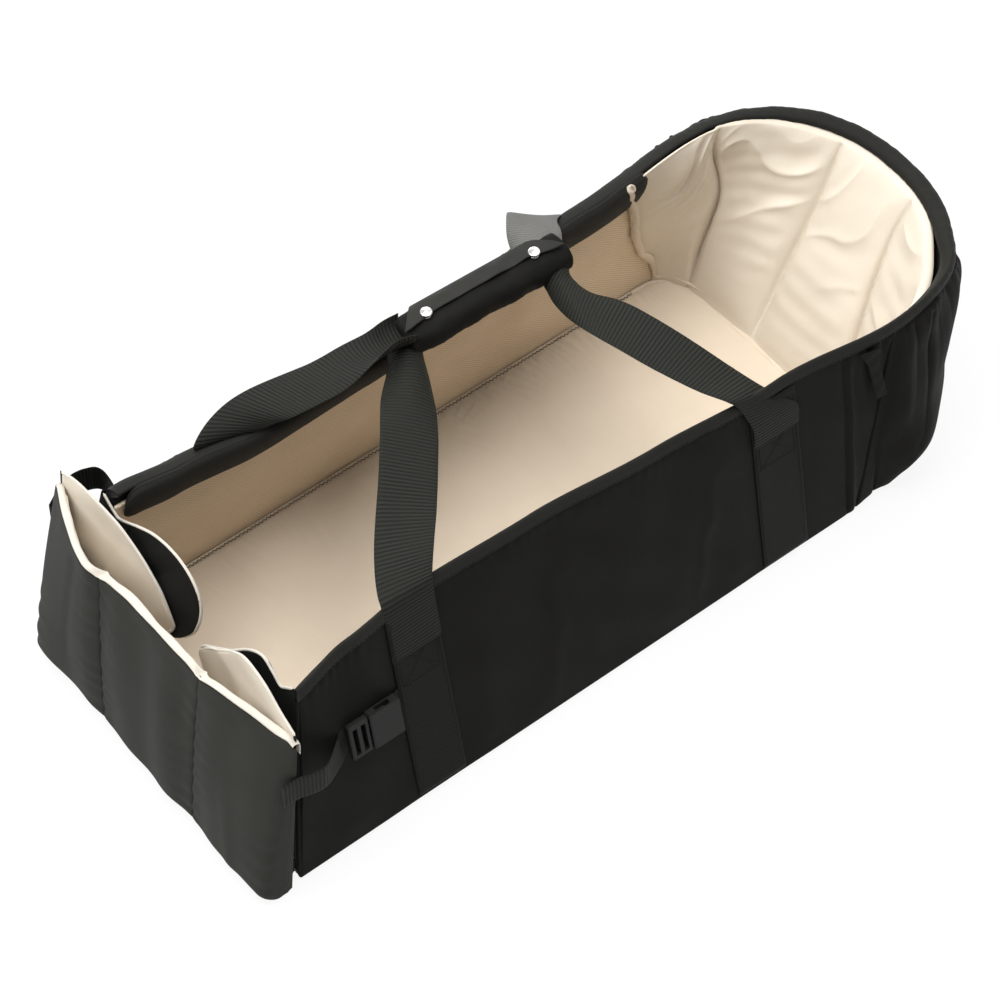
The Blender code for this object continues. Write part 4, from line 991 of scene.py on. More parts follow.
def makeHeadLiner():
    # Face: the inner wall, swollen between the sewn lines by rise times (1 - exp(-distance / 8 mm)),
    # each panel fuller on one side of its line, with soft drag folds, ridges of 1 - |sines|, that lean
    # from line to line; the front edge lies over the spacer mesh.
    look = headLinerLook
    a, w = np.meshgrid(crowded(look["columns"], 0.3), crowded(look["rows"], 0.6), indexing="ij")
    front = alongTable(look["front"], mixed(-0.03, 0.95, w))
    s = a * 2 * front - front
    nearSide = eased(-0.30, -0.75, s)
    topDrop = mixed(mixed(0.0065, 0.033, nearSide), 0.0030, eased(0.3, 0.8, s))
    v = mixed(-0.03, 1 - topDrop / 0.215, w)
    inner = innerWall(s, v)
    z = inner[..., 2]
    around = s * look["round"]
    distance = np.clip((front - np.abs(s)) * 0.25, 0, 1)
    overlap = np.zeros_like(s)
    for k, seam in enumerate(look["seams"]):
        off = (s - alongTable(seam, v)) * look["round"]
        distance = np.minimum(distance, np.abs(off))
        overlap += (0.0045 if k == 3 else 0.0012) * np.exp(-np.clip(off, 0, 1) / 0.016) * (off > 0)
    pad = 1 - np.exp(-distance / 0.008)
    closing = np.clip(np.sin(np.pi * np.clip(w, 0, 1)), 0, 1) ** 0.5 * (1 - 0.5 * nearSide * eased(0.4, 0.9, w))
    bend = 0.020 * rippled(around, z, 0.16, 60)
    slope = around * 0.50 + z * 0.85 + bend
    ridge = (1 - np.abs(rippled(slope * 1.0, (around * 0.8 - z * 0.5) * 0.35, 0.115, 63, 4))) ** 2
    drag = rippled(slope, (around - z * 0.6) * 0.4, 0.075, 61, 4)
    fine = rippled(around + 0.5 * z, z * 1.1, 0.035, 62)
    high = eased(0.25, 0.85, w) * (0.55 + 0.45 * eased(-0.3, 0.3, s))
    soft = (0.0054 * (ridge - 0.4) + 0.0022 * drag) * high + 0.0005 * fine
    pulled = np.sin(2 * np.pi * (z / 0.027 + 0.4 * rippled(around, z, 0.07, 64))) * np.exp(-distance / 0.010)
    pulled = pulled * 0.0004 * (1 + rippled(around, z, 0.09, 65))
    groove = 0.0024 * bell(distance, 0, 0.0018)
    out = (look["rise"] + overlap) * pad + (soft + pulled) * eased(0.0, 0.02, distance) - groove
    out = out * closing + 0.0008
    face = fromInside(s, v, -out)
    over = eased(0.80, 0.86, np.abs(s))
    back = fromInside(s, v, mixed(cot["headLiner"], -0.0008, over))
    face = fromInside(s, v, -mixed(out, np.maximum(out, 0.0030), over))
    liner = clothBody("head_quilt", face, back, [headCloth], 0.0025)
    dress(liner, "tub", "lining_fabric", "head_liner")


def makeQuiltHems():
    # Rolled hem: up the front edge and along the floor's seam, thinner as it goes and lumpy by two sines.
    look = headLinerLook
    for name, sign in (("near", -1), ("far", 1)):
        height = np.linspace(1.0 if name == "far" else 0.80, 0.02, 90)
        edge = sign * alongTable(look["front"], height)
        upright = fromInside(edge, height, np.full(90, -0.0052))
        foot = sign * np.linspace(edge[-1] * sign - 0.02, 0.26, 60)
        lying = fromInside(foot, np.full(60, 0.012), np.full(60, -0.0040))
        line = curveThrough(np.concatenate([upright[::6], lying[::6]]), 0.0022)
        far = lengths(line)
        thick = mixed(0.0040, 0.0014, eased(0.17, far[-1] * 0.8, far))
        thick = thick * (1 + 0.16 * np.sin(2 * np.pi * far / 0.017 + 2 * np.sin(far / 0.011)))
        hem = cordBody(name + "_quilt_hem", line, thick, [liningCloth], 12)
        dress(hem, "tub", "lining_fabric")


floorLook = {
    "columns": 360,
    "rows": 130,
    # distance of the pad's end from the foot edge
    "endIn": 0.004,
    "crown": 0.0032,
    "pucker": 0.0046,
    # metres between two puckers, and distance of the seam from the edge
    "pitch": 0.0145,
    "seamIn": 0.0042,
}


def floorHalf(x):
    # half width of the floor at x: straight, then a squared oval round the head
    half = cot["halfWidth"] - cot["wall"] + 0.0002
    t = np.clip((x - cot["seamX"]) / (cot["linerHeadX"] - cot["seamX"] + 0.0006), 0, 0.996)
    return half * squared(t, cot["headSquare"])


def makeFloorPad():
    # Face: low crown, cos of the way across to the power 0.6, pulled down at its sewn edge, with drag
    # lines that leave the edge seam and fade over 30 mm, strongest in the middle of the long sides.
    look = floorLook
    x0, x1 = cot["footX"] + look["endIn"], cot["linerHeadX"] - 0.0008
    a, b = np.meshgrid(crowded(look["columns"], 0.7), crowded(look["rows"], 0.9), indexing="ij")
    x = mixed(x0, x1, a)
    half = floorHalf(x)
    y = mixed(-1, 1, b) * half
    inside = half - np.abs(y)
    atEnd = np.minimum(x - x0, x1 - x)
    border = np.minimum(inside, atEnd)
    swing = 0.40 * rippled(x, np.abs(y) * 0.5, 0.06, 71)
    wave = np.sin(2 * np.pi * (x / look["pitch"] + 0.15 * np.sign(y) + swing - 9 * inside))
    wave = 1 - 2 * np.abs(wave) ** 0.6
    reach = 0.018 + 0.016 * (0.5 + 0.5 * rippled(x, 0 * y, 0.03, 73))
    middle = bell(x, 0.035, 0.13) * (0.55 + 0.45 * (y > 0)) + 0.15
    pull = look["pucker"] * wave * np.exp(-inside / reach) * eased(0.001, 0.008, inside) * middle
    slow = 0.0006 * rippled(x, y, 0.11, 72) * eased(0, 0.03, border)
    crown = np.clip(np.cos(np.pi / 2 * np.clip(np.abs(y) / half, 0, 1)), 0, 1) ** 0.6
    rise = look["crown"] * crown * eased(0, 0.05, atEnd)
    seam = -0.0010 * bell(border, look["seamIn"], 0.0016)
    top = cot["floorTop"] + rise + pull + slow + seam
    face = stack(x, y, top)
    back = stack(x, y, np.full(x.shape, 0.0085))
    pad = clothBody("floor_pad", face, back, [liningCloth], 0.0012)
    dress(pad, "tub", "lining_fabric", "floor_liner", "floor_foam")


def makeFloorStitching():
    # Zigzag along each long seam: every other point lies to the other side, by 1.2 mm on the average.
    look = floorLook
    for name, sign in (("near", -1), ("far", 1)):
        lx = np.arange(cot["footX"] + look["endIn"] + 0.006, 0.236, 0.0021)
        wide = 1 + 0.25 * np.sin(lx * 90)
        ly = sign * (floorHalf(lx) - look["seamIn"] - 0.0012 * wide * (-1.0) ** np.arange(len(lx)))
        lz = cot["floorTop"] + 0.0006 + 0.0005 * np.sin(2 * np.pi * lx / look["pitch"])
        path = stack(lx, ly, lz)
        mids, steps = (path[1:] + path[:-1]) / 2, path[1:] - path[:-1]
        up = np.tile([0, 0, 1.0], (len(mids), 1))
        row = bars(name + "_floor_stitching", mids, steps, up, [brownThread], 0.0032, 0.00042)
        dress(row, "tub", "lining_fabric")


baseLook = {
    "inset": 0.0068,
    "thick": 0.0046,
    # length of the rounded head end, and of the oval that it is cut from
    "headLength": 0.0585,
    "ovalLength": 0.0602,
    # half width and depth of the room for each sling
    "roomHalf": 0.0261,
    "roomDepth": 0.0027,
}


def makeBaseCover():
    # Underside: flat on the ground, let in by the depth of the slings where they pass under it. Two rows of
    # points, 0.2 mm apart, lie at each edge of a sling's room.
    look = baseLook
    straight = np.linspace(cot["footX"] + 0.002, cot["seamX"], 130)
    x = np.concatenate([straight, cot["seamX"] + look["headLength"] * crowded(40, 0.8)[1:]])
    edges = [m + d * look["roomHalf"] for m in cot["slings"] for d in (-1, 1)]
    marks = [edge + d for edge in edges for d in (-0.0001, 0.0001)]
    x = np.sort(np.concatenate([x, marks]))[:, None]
    t = np.clip((x - cot["seamX"]) / look["ovalLength"], 0, 0.996)
    half = (cot["halfWidth"] - look["inset"]) * squared(t, cot["headSquare"])
    y = mixed(-1, 1, crowded(60, 0.8))[None] * half
    x = x + 0 * y
    low = np.zeros_like(x)
    for middle in cot["slings"]:
        low = np.where(np.abs(x - middle) < look["roomHalf"], look["roomDepth"], low)
    face = stack(x, y, low)
    back = stack(x, y, look["thick"] + 0 * x)
    cover = clothBody("base_panel", face, back, [shellCloth], 0.0015)
    dress(cover, "tub", "shell_fabric", "base_cover")


makeHeadLiner()
makeQuiltHems()
makeFloorPad()
makeFloorStitching()
makeBaseCover()
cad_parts["base_board"].data.materials.clear()
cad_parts["base_board"].data.materials.append(greyBoard)
print("floor and head liner dressed")


# Slings sewn to the base and the walls

slingLook = {
    "thick": 0.0019,
    "lift": 0.0011,
    "rows": 46,
    # heights of the straps' ends on the two walls, and of the place where they turn under the base
    "nearTop": 0.2135,
    "farTop": 0.200,
    "turn": 0.012,
    # height of the straps' middle under the base
    "under": 0.0014,
    # how far the head strap has slanted at that height on the near wall, and where it starts
    "slant": 0.013,
    "slantHeight": 0.21,
    "slantStart": 0.002,
    # sewn box: its top's height, how high it is, its distance from the edges
    "boxTop": 0.176,
    "boxHeight": 0.040,
    "boxInset": 0.006,
    # heights between which the rows down the edges run, and their distance from the middle
    "nearSewn": 0.205,
    "farSewn": 0.195,
    "sewnLow": 0.014,
    "edgeRow": 0.0225,
}


def wallDown(x, z, sign, lift):
    # Point on a wall by its height: on the near wall the head strap slants towards the foot as it rises.
    look = slingLook
    if sign < 0 and np.mean(x) > 0:
        x = x - (look["slant"] * z / look["slantHeight"] - look["slantStart"])
    return onSide(x, z / cot["rimHeight"], sign, lift)


def makeSling(name, middle):
    # One strap down the near wall, under the base and up the far wall: a band of equal width, its
    # path rounding both bottom corners on a small circle.
    look = slingLook
    height = np.linspace(look["nearTop"], look["turn"], look["rows"])
    farHeight = np.linspace(look["farTop"], look["turn"], look["rows"])
    half = cot["webbing"] / 2
    share = np.sin(np.linspace(-1, 1, 17) * np.pi / 2)
    columns = []
    for c in share:
        x = middle + c * half
        lift = np.full(len(height), look["lift"] + look["thick"] / 2)
        near = wallDown(x, height, -1, lift)
        corner = near[-1]
        turn = np.linspace(0, np.pi / 2, 8)[1:]
        r = corner[2] - look["under"]
        bend = stack(x, corner[1] + r * (1 - np.cos(turn)), corner[2] - r * np.sin(turn))
        across = np.linspace(bend[-1, 1] + 0.002, -bend[-1, 1] - 0.002, 60)
        under = stack(x, across, look["under"])
        far = wallDown(x, farHeight, 1, lift)
        farBend = bend * np.array([1, -1, 1]) + np.array([0, far[-1, 1] + corner[1], 0])
        columns.append(np.concatenate([near, bend, under, farBend[::-1], far[::-1]]))
    grid = np.array(columns)
    up = normals(grid)
    if np.sum(up[:, 10, 1]) > 0:
        up = -up
    edge = np.sqrt(np.clip(1 - np.abs(share) ** 10, 0.1, 1))[:, None, None]
    face, back = grid + up * look["thick"] / 2 * edge, grid - up * look["thick"] / 2 * edge
    along = lengths(grid[8])
    flat = np.stack(np.meshgrid(share * half, along, indexing="ij"), axis=-1)
    strap = clothBody(name + "_sling", face, back, [sewnWebbing], 0.0010, flat)
    dress(strap, "tub", "webbing", name + "_sling_strap")
    for side, sign in (("near", -1), ("far", 1)):
        makeBox(name + "_" + side + "_box", middle, sign)


def makeBox(name, middle, sign):
    # Box with a cross in it, sewn through a strap on a wall, and two rows down the strap's edges.
    look = slingLook
    half, top = cot["webbing"] / 2 - look["boxInset"], look["boxTop"]
    low = top - look["boxHeight"]
    corners = [(-half, top), (half, top), (half, low), (-half, low), (-half, top), (half, low)]
    sewn = look["nearSewn"] if sign < 0 else look["farSewn"]
    paths = [corners, [(-half, low), (half, top)]]
    paths += [[(x, sewn), (x, look["sewnLow"])] for x in (-look["edgeRow"], look["edgeRow"])]
    made = []
    for k, path in enumerate(paths):
        p = np.array(path)
        run = np.concatenate([mixed(p[i], p[i + 1], np.linspace(0, 1, 14)[:, None]) for i in range(len(p) - 1)])
        lift = np.full(len(run), look["lift"] + look["thick"] + 0.0002)
        line = wallDown(middle + run[:, 0], run[:, 1], sign, lift)
        up = np.tile([0, sign, 0.2], (len(line), 1))
        made.append(stitches(name + str(k), line, up, [blackThread], 0.0024, 0.0011, 0.0004))
    joinPieces(name, made)
    dress(bpy.data.objects[name], "tub", "webbing")


def joinPieces(name, made):
    # several objects as one piece
    for other in made[1:]:
        other.select_set(True)
    made[0].select_set(True)
    bpy.context.view_layer.objects.active = made[0]
    bpy.ops.object.join()
    made[0].name = name
    bpy.ops.object.select_all(action="DESELECT")
    return made[0]


bpy.ops.object.select_all(action="DESELECT")
makeSling("foot", cot["slings"][0])
makeSling("head", cot["slings"][1])
print("slings dressed")


# Foot flap

flapLook = {
    "half": 0.168,
    "height": 0.206,
    "axisX": -0.400,
    "axisZ": 0.0192,
    "hem": 0.0189,
    "innerDepth": 0.0123,
    "seam": 0.065,
    "wrap": 0.016,
    "channel": 0.0060,
    # how far the facing reaches across the top edge, rises over it and hangs down inside
    "facingAcross": 0.0070,
    "facingRise": 0.0018,
    "facingDown": 0.0140,
    # x of the top edge's outer line at y, from the near end to the far end
    "top": (
        (-0.168, -0.3745), (-0.145, -0.3800), (-0.116, -0.3860), (-0.085, -0.3925), (-0.066, -0.3965),
        (-0.050, -0.3955), (0, -0.3965), (0.030, -0.3970), (0.058, -0.4000), (0.066, -0.4035), (0.078, -0.4075),
        (0.10, -0.4020), (0.135, -0.3890), (0.168, -0.3740),
    ),
}


def flapWrap(y, z):
    # how far the flap's ends turn in towards the cot: the wrap times the share past the seam and of the height
    over = np.maximum(0, np.abs(y) - flapLook["seam"]) / (flapLook["half"] - flapLook["seam"])
    return flapLook["wrap"] * over * z / flapLook["height"]


def flapInnerX(y, z):
    # x of the flap's inner face
    return flapLook["axisX"] + flapLook["innerDepth"] + flapWrap(y, z)


def flapOuterX(y, z):
    # The flap's outer face: a round hem, then a pad that thins towards its top line, bowed outwards by
    # sin(pi rise), and drawn in at the seams.
    look = flapLook
    y, z = np.broadcast_arrays(np.asarray(y, float), np.asarray(z, float))
    rise = np.clip((z - look["axisZ"]) / (look["height"] - look["axisZ"]), 0, 1.05)
    low = look["axisX"] - np.sqrt(np.maximum(0, look["hem"] ** 2 - np.minimum(0, z - look["axisZ"]) ** 2))
    table = np.array(look["top"])
    top = np.interp(y[..., None] + np.linspace(-0.005, 0.005, 5), table[:, 0], table[:, 1]).mean(axis=-1)
    inner = np.abs(np.cos(np.pi / 2 * np.clip(y / look["seam"], -1, 1)))
    outer = np.sin(np.pi * np.clip((np.abs(y) - look["seam"]) / (look["half"] - look["seam"]), 0, 1))
    seam = np.clip(np.where(np.abs(y) < look["seam"], inner, outer), 0, 1)
    pull = look["channel"] * (1 - seam**0.42) * np.minimum(1, z / look["axisZ"]) * (1 - 0.45 * rise)
    bow = 0.0045 * np.sin(np.pi * np.clip(rise, 0, 1)) * seam**0.5
    return mixed(low, top, rise**1.15) + pull - bow


def flapColumns():
    # y of the flap's columns, closer together at both seams
    seam = flapLook["seam"] / flapLook["half"]
    inner = mixed(-seam, seam, crowded(76, 0.9))
    outer = mixed(seam, 1, crowded(66, 0.9))
    return np.concatenate([-outer[::-1], inner[1:-1], outer]) * flapLook["half"]


def flapTopZ(y):
    # height of the top edge: it dips a little at both seams, lifts between them and rounds off at its ends
    dip = 0.0022 * bell(np.abs(y), flapLook["seam"], 0.010) + 0.0050 * eased(0.158, 0.168, np.abs(y))
    return flapLook["height"] - dip + 0.0010 * np.cos(2 * np.pi * y / 0.11)


def makeFlap():
    # Cover: the padded outer face with a few long soft dents and two slanting creases, its ends rounded by
    # a quarter circle. Lining: the inner face, its edges clear of the cover, nipped at both seams.
    look = flapLook
    y, w = np.meshgrid(flapColumns(), crowded(100, 0.5), indexing="ij")
    top = flapTopZ(y) - 0.0012
    z = mixed(0.0004, top, w)
    x = flapOuterX(y, z)
    seamAway = np.abs(np.abs(y) - look["seam"])
    endAway = look["half"] - np.abs(y)
    calm = eased(0, 0.02, z) * eased(0, 0.02, top - z)
    dents = 0.0013 * rippled(y * 1.3, z * 0.32, 0.075, 81)
    drag = 0.0007 * np.sin(2 * np.pi * (z / 0.021 + 0.3 * rippled(y, z, 0.07, 83))) * np.exp(-seamAway / 0.012)
    farCrease = bell(y + 0.10 * z, 0.118, 0.007) * eased(0.02, 0.08, z)
    crease = 0.0016 * (farCrease - bell(y - 0.12 * z, -0.125, 0.008) * eased(0.16, 0.06, z))
    hems = 0.0014 * np.sin(2 * np.pi * z / 0.024 + 1.5) * np.exp(-endAway / 0.010) * eased(0.11, 0.06, z)
    x = x + (dents * eased(0, 0.02, seamAway) + drag + crease + hems) * calm
    corner = 0.006 * (1 - np.sqrt(np.clip(1 - (1 - np.clip(endAway / 0.010, 0, 1)) ** 2, 0, 1)))
    x = x + corner * eased(1.0, 0.75, z / look["height"])
    face = stack(x, y, z)
    topped = eased(0.050, 0.0, top - z)
    innerX = mixed(flapInnerX(y, z), np.minimum(flapInnerX(y, z), x + 0.0060), topped)
    atSide = eased(0.1600, 0.1625, np.abs(y))
    backX = np.maximum(innerX - 0.0028 * (1 - atSide), x + 0.0008)
    back = stack(backX, y, np.maximum(z, 0.0044))
    shell = clothBody("flap_cover", face, back, [flapCloth], 0.0022)
    dress(shell, "foot_flap", "flap_fabric", "flap_shell", "flap_wadding")
    inner = stack(np.maximum(innerX, x + 0.0034), y * 0.961, np.maximum(z, 0.0046))
    inner[..., 0] += 0.0010 * (rippled(y, z, 0.06, 84) - bell(np.abs(y), look["seam"], 0.004)) * calm
    lining = clothBody("flap_inside", inner, inner - np.array([0.0024, 0, 0]), [headCloth], 0.0010)
    dress(lining, "foot_flap", "lining_fabric", "flap_lining")


def makeFlapFacing():
    # Cream band over the top edge, up by sin(pi bend)^0.6, and 14 mm down the inner face, nipped at both seams.
    look = flapLook
    yy, q = np.meshgrid(flapColumns() * 0.985, crowded(26, 0.3), indexing="ij")
    topZ = flapTopZ(yy)
    outerX = flapOuterX(yy, topZ)
    innerX = outerX + look["facingAcross"]
    bend = np.clip(q / 0.45, 0, 1)
    down = np.clip((q - 0.45) / 0.55, 0, 1) * look["facingDown"]
    nip = bell(np.abs(yy), look["seam"], 0.0045)
    bx = mixed(outerX - 0.0004, innerX, bend)
    bz = topZ + look["facingRise"] * np.sin(np.pi * bend) ** 0.6 * (1 - 0.9 * nip) - down
    waver = 0.0005 * rippled(yy, q * 0.02, 0.035, 85)
    bz = bz + waver - 0.0022 * nip * np.sin(np.pi * bend)
    bx = bx + 0.0006 * rippled(yy, q * 0.03, 0.028, 86) * bend + 0.0016 * nip * bend
    band = stack(bx, yy, bz)
    inward = normals(band)
    if np.sum(inward[:, -1, 0]) > 0:
        inward = -inward
    facing = clothBody("flap_facing", band, band + inward * 0.0011, [pipingCloth], 0.0008)
    dress(facing, "foot_flap", "piping_fabric", "flap_top_binding")
    float(flatMap(band)[0, -1, 1])


def makeFlapStitching():
    # a row of stitches up each seam of the outer face
    look = flapLook
    for name, sign in (("near", -1), ("far", 1)):
        zs = np.linspace(0.010, look["height"] - 0.004, 90)
        ys = np.full(90, sign * look["seam"])
        line = stack(flapOuterX(ys, zs) - 0.0001, ys, zs)
        up = np.tile([-1.0, 0, 0], (90, 1))
        row = stitches(name + "_flap_stitching", line, up, [blackThread], 0.0028, 0.0012, 0.0004)
        dress(row, "foot_flap", "flap_fabric")


hingeLook = {
    "half": 0.155,
    # its two edges, measured from the foot edge along x
    "outer": -0.0105,
    "inner": 0.0035,
    "height": 0.0026,
    "arch": 0.0005,
    "thick": 0.0014,
}


def makeHingeStrip():
    # Strip under the foot edge, bent between the tub and the flap: a low arch, sin(pi a), across its width.
    look = hingeLook
    y, a = np.meshgrid(np.linspace(-look["half"], look["half"], 90), crowded(14, 0.5), indexing="ij")
    x = mixed(cot["footX"] + look["outer"], cot["footX"] + look["inner"], a)
    z = look["height"] + look["arch"] * np.sin(np.pi * a) + 0.0003 * rippled(x, y, 0.02, 87)
    face = stack(x, y, z)
    strip = clothBody("hinge_strip", face, face - np.array([0, 0, look["thick"]]), [shellCloth], 0.0008)
    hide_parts("flap_hinge_strip")
    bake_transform(strip)


makeFlap()
makeFlapFacing()
makeFlapStitching()
makeHingeStrip()
print("foot flap dressed")


# Gussets at the foot corners

gussetLook = {
    "thick": 0.0036,
    "apexZ": 0.005,
    "inset": 0.002,
    # where the two halves meet: distance from the middle of the cot, and height
    "tipY": 0.014,
    "tipZ": 0.155,
    # heights of the upper ends of the hinge lines on the wall and on the flap
    "rear": 0.214,
    "front": 0.196,
    # radius where a fan starts, and how much further out the rear fan starts away from the wall
    "start": 0.013,
    "rearStart": 0.022,
    # each fan's radius at shares of its turn, from its hinge to its crease
    "edges": {
        "far_rear": (
            (0, 0.205), (0.12, 0.200), (0.22, 0.199), (0.34, 0.219), (0.47, 0.242), (0.61, 0.259),
            (0.74, 0.266), (0.865, 0.264), (0.95, 0.254), (1.02, 0.238), (1.10, 0.216),
        ),
        "near_rear": (
            (0, 0.220), (0.10, 0.211), (0.17, 0.209), (0.21, 0.222), (0.26, 0.2275), (0.334, 0.2286),
            (0.473, 0.2231), (0.612, 0.2151), (0.8, 0.212), (1, 0.2126), (1.10, 0.205),
        ),
        "far_front": (
            (0, 0.2135), (0.115, 0.2205), (0.30, 0.2233), (0.42, 0.2262), (0.606, 0.2241), (0.80, 0.218),
            (0.963, 0.2076), (1.05, 0.2026),
        ),
        "near_front": (
            (0, 0.2055), (0.147, 0.2127), (0.294, 0.2278), (0.431, 0.2350), (0.55, 0.230), (0.688, 0.2212),
            (0.878, 0.2161), (1.0, 0.2110), (1.05, 0.206),
        ),
    },
}


def gussetLines(sign):
    # apex, hinge direction and crease direction of the rear half and the front half
    look = gussetLook
    back = look["thick"] / 2 + cot["gap"]
    tilt = (cot["rimFootX"] - cot["footX"]) / cot["rimHeight"]
    side = sign * (cot["halfWidth"] - look["inset"])
    rearApex = np.array([endPlane(2.0, look["apexZ"]) - back - cot["gap"], side, look["apexZ"]])
    high = outerWall(np.array(sign * 2.0), np.array(look["rear"] / rimHeightAt(2.0)))
    rise = look["rear"] - look["apexZ"]
    wallLine = np.array([tilt * rise, high[1] - side, rise])
    tip = np.array([rearApex[0] + tilt * (look["tipZ"] - look["apexZ"]), sign * look["tipY"], look["tipZ"]])
    edge = flapLook["half"] - 2 * look["inset"]
    frontApex = np.array([flapInnerX(edge, look["apexZ"]) + back, sign * edge, look["apexZ"]])
    farUp = np.array([flapInnerX(edge, look["front"]) + back, sign * edge, look["front"]])
    frontTip = tip - np.array([look["thick"] + 2 * cot["gap"], 0, 0])
    rear = (rearApex, unit(wallLine), unit(tip - rearApex))
    front = (frontApex, unit(farUp - frontApex), unit(frontTip - frontApex))
    return rear, front


def turned(first, second, share):
    # Direction at a share of the turn from one unit vector to another: the first times sin((1 - share) angle)
    # and the second times sin(share angle), over sin(angle).
    angle = np.arccos(np.clip(first @ second, -1, 1))
    a, b = np.sin((1 - share) * angle) / np.sin(angle), np.sin(share * angle) / np.sin(angle)
    return a[..., None] * first + b[..., None] * second


def offHinge(points, apex, hinge):
    # distance from the hinge line: the length of the cross product with its direction
    return np.linalg.norm(np.cross(points - apex, hinge), axis=-1)


def makeGusset(side, sign, part):
    # Quilted fan: a turn share round the corner against a share out to its drawn edge; it swells between
    # the ribs by |sin|^0.5. The black face is the cot's outside and the cream one its inside. The front fan
    # bows towards the flap by a half sine, which leaves room for the buckle strap when the flap lies open,
    # and the rear fan starts further out away from the wall, clear of the open flap's hem.
    look = gussetLook
    rear, front = gussetLines(sign)
    apex, hinge, crease = rear if part == "rear" else front
    table = np.array(look["edges"][side + "_" + part])
    last = table[-1, 0]
    a, r = np.meshgrid(crowded(100, 0.5) * last, crowded(64, 0.6), indexing="ij")
    edge = np.interp(a[..., None] + np.linspace(-0.03, 0.03, 5), table[:, 0], table[:, 1]).mean(axis=-1)
    edge = edge - 0.020 * eased(last - 0.07, last + 0.01, a) ** 2
    inner = look["start"] + (look["rearStart"] * eased(0.05, 0.40, a) if part == "rear" else 0)
    out = mixed(inner, edge, r)
    middle = apex + turned(hinge, crease, a) * out[..., None]
    normal = unit(np.cross(hinge, crease))
    if part == "front":
        bow = 0.0042 * np.sin(np.pi * np.clip(offHinge(middle, apex, hinge) / 0.09, 0, 1))
        bow = bow * eased(1, 0.72, r) * eased(0.80, 0.52, a)
        middle = middle - normal * np.sign(normal[0]) * bow[..., None]
    ribs = 3 if part == "rear" else 2
    quilt = np.abs(np.sin(np.pi * ribs * a)) ** 0.5
    crown = 0.0030 * quilt * np.sin(np.pi * np.clip(r, 0, 1)) ** 0.4
    wave = 0.0006 * rippled(a * 0.2, r * 0.2, 0.06, 91 + sign + (part == "rear"))
    body = middle + normal * wave[..., None]
    outside = (look["thick"] / 2 - 0.0010 + crown * (1 if part == "rear" else 0.3))[..., None]
    inside = (look["thick"] / 2 - 0.0010 + crown * 0.4)[..., None]
    facing = normal * (-1 if (part == "rear") == (normal[0] > 0) else 1)
    face, back = body + facing * outside, body - facing * inside
    name = side + "_" + part + "_gusset"
    fan = clothBody(name + "_cloth", face, back, [shellCloth, headCloth], 0.0012, edgePaint=0)
    # black also round the edge that is sewn to the wall or the flap
    count = len(fan.data.polygons)
    centres, paints = np.empty(count * 3), np.empty(count, np.int32)
    fan.data.polygons.foreach_get("center", centres)
    fan.data.polygons.foreach_get("material_index", paints)
    paints[offHinge(centres.reshape(-1, 3), apex, hinge) < look["thick"]] = 0
    fan.data.polygons.foreach_set("material_index", paints)
    dress(fan, name, "shell_fabric", name)
    rim = middle[:, -1] - unit(middle[:, -1] - apex) * 0.0002
    line = curveThrough(np.concatenate([rim[2:-2:6], rim[-2:-1]]), 0.002)
    piping = cordBody(name + "_piping", line, 0.00135, [pipingCloth])
    dress(piping, name, "piping_fabric")
    if part == "rear":
        # corded seam that closes the gap from the wall's end to the fan, at every angle of the fold
        seam = apex + hinge * np.linspace(0.004, look["rear"] - 0.008, 60)[:, None] + np.array([0.0017, 0, 0])
        cord = cordBody(side + "_gusset_seam", seam, 0.0022, [shellCloth])
        dress(cord, "tub", "shell_fabric")


for side, sign in (("near", -1), ("far", 1)):
    for part in ("rear", "front"):
        makeGusset(side, sign, part)
print("gussets dressed")


# Carrying handles

wrapLook = {
    # the middle of the wrap's two ends
    "foot": (-0.072, 0.086, 0.240),
    "head": (0.091, 0.080, 0.240),
    "width": 0.037,
    "height": 0.0290,
    # the hollow for the webbing
    "slot": 0.0290,
    "slotHeight": 0.0110,
    # where the leaf lies, above the wrap's axis
    "seat": 0.01325,
    "rings": 110,
    "sides": 44,
}
leafLook = {
    # distance of the leaf's far corners from the wrap's end, and how much longer its near edge is
    "endIn": 0.020,
    "tongue": 0.0225,
    # how far across the wrap it starts, and how far it reaches over to the other side
    "start": 0.0185,
    "reach": 0.0195,
    "thick": 0.0019,
    # distance of the press studs from the wrap's ends
    "snapIn": 0.025,
}
snapLook = {
    # radius, height and lift above the leaf's seat
    "stud": (0.0042, 0.0008, 0.0003),
    "cap": (0.0055, 0.0018, 0.0036),
    # the profile from its middle to its rim and back underneath, as shares of the radius and of the height
    "radiusShares": (0.02, 0.35, 0.62, 0.78, 0.90, 0.985, 1.0, 0.985, 0.93, 0.4, 0.02),
    "heightShares": (0.72, 0.74, 0.80, 1.0, 0.97, 0.72, 0.45, 0.2, 0.0, 0.0, 0.0),
    "sides": 40,
}
handleLook = {"thick": 0.0020, "width": 0.050}
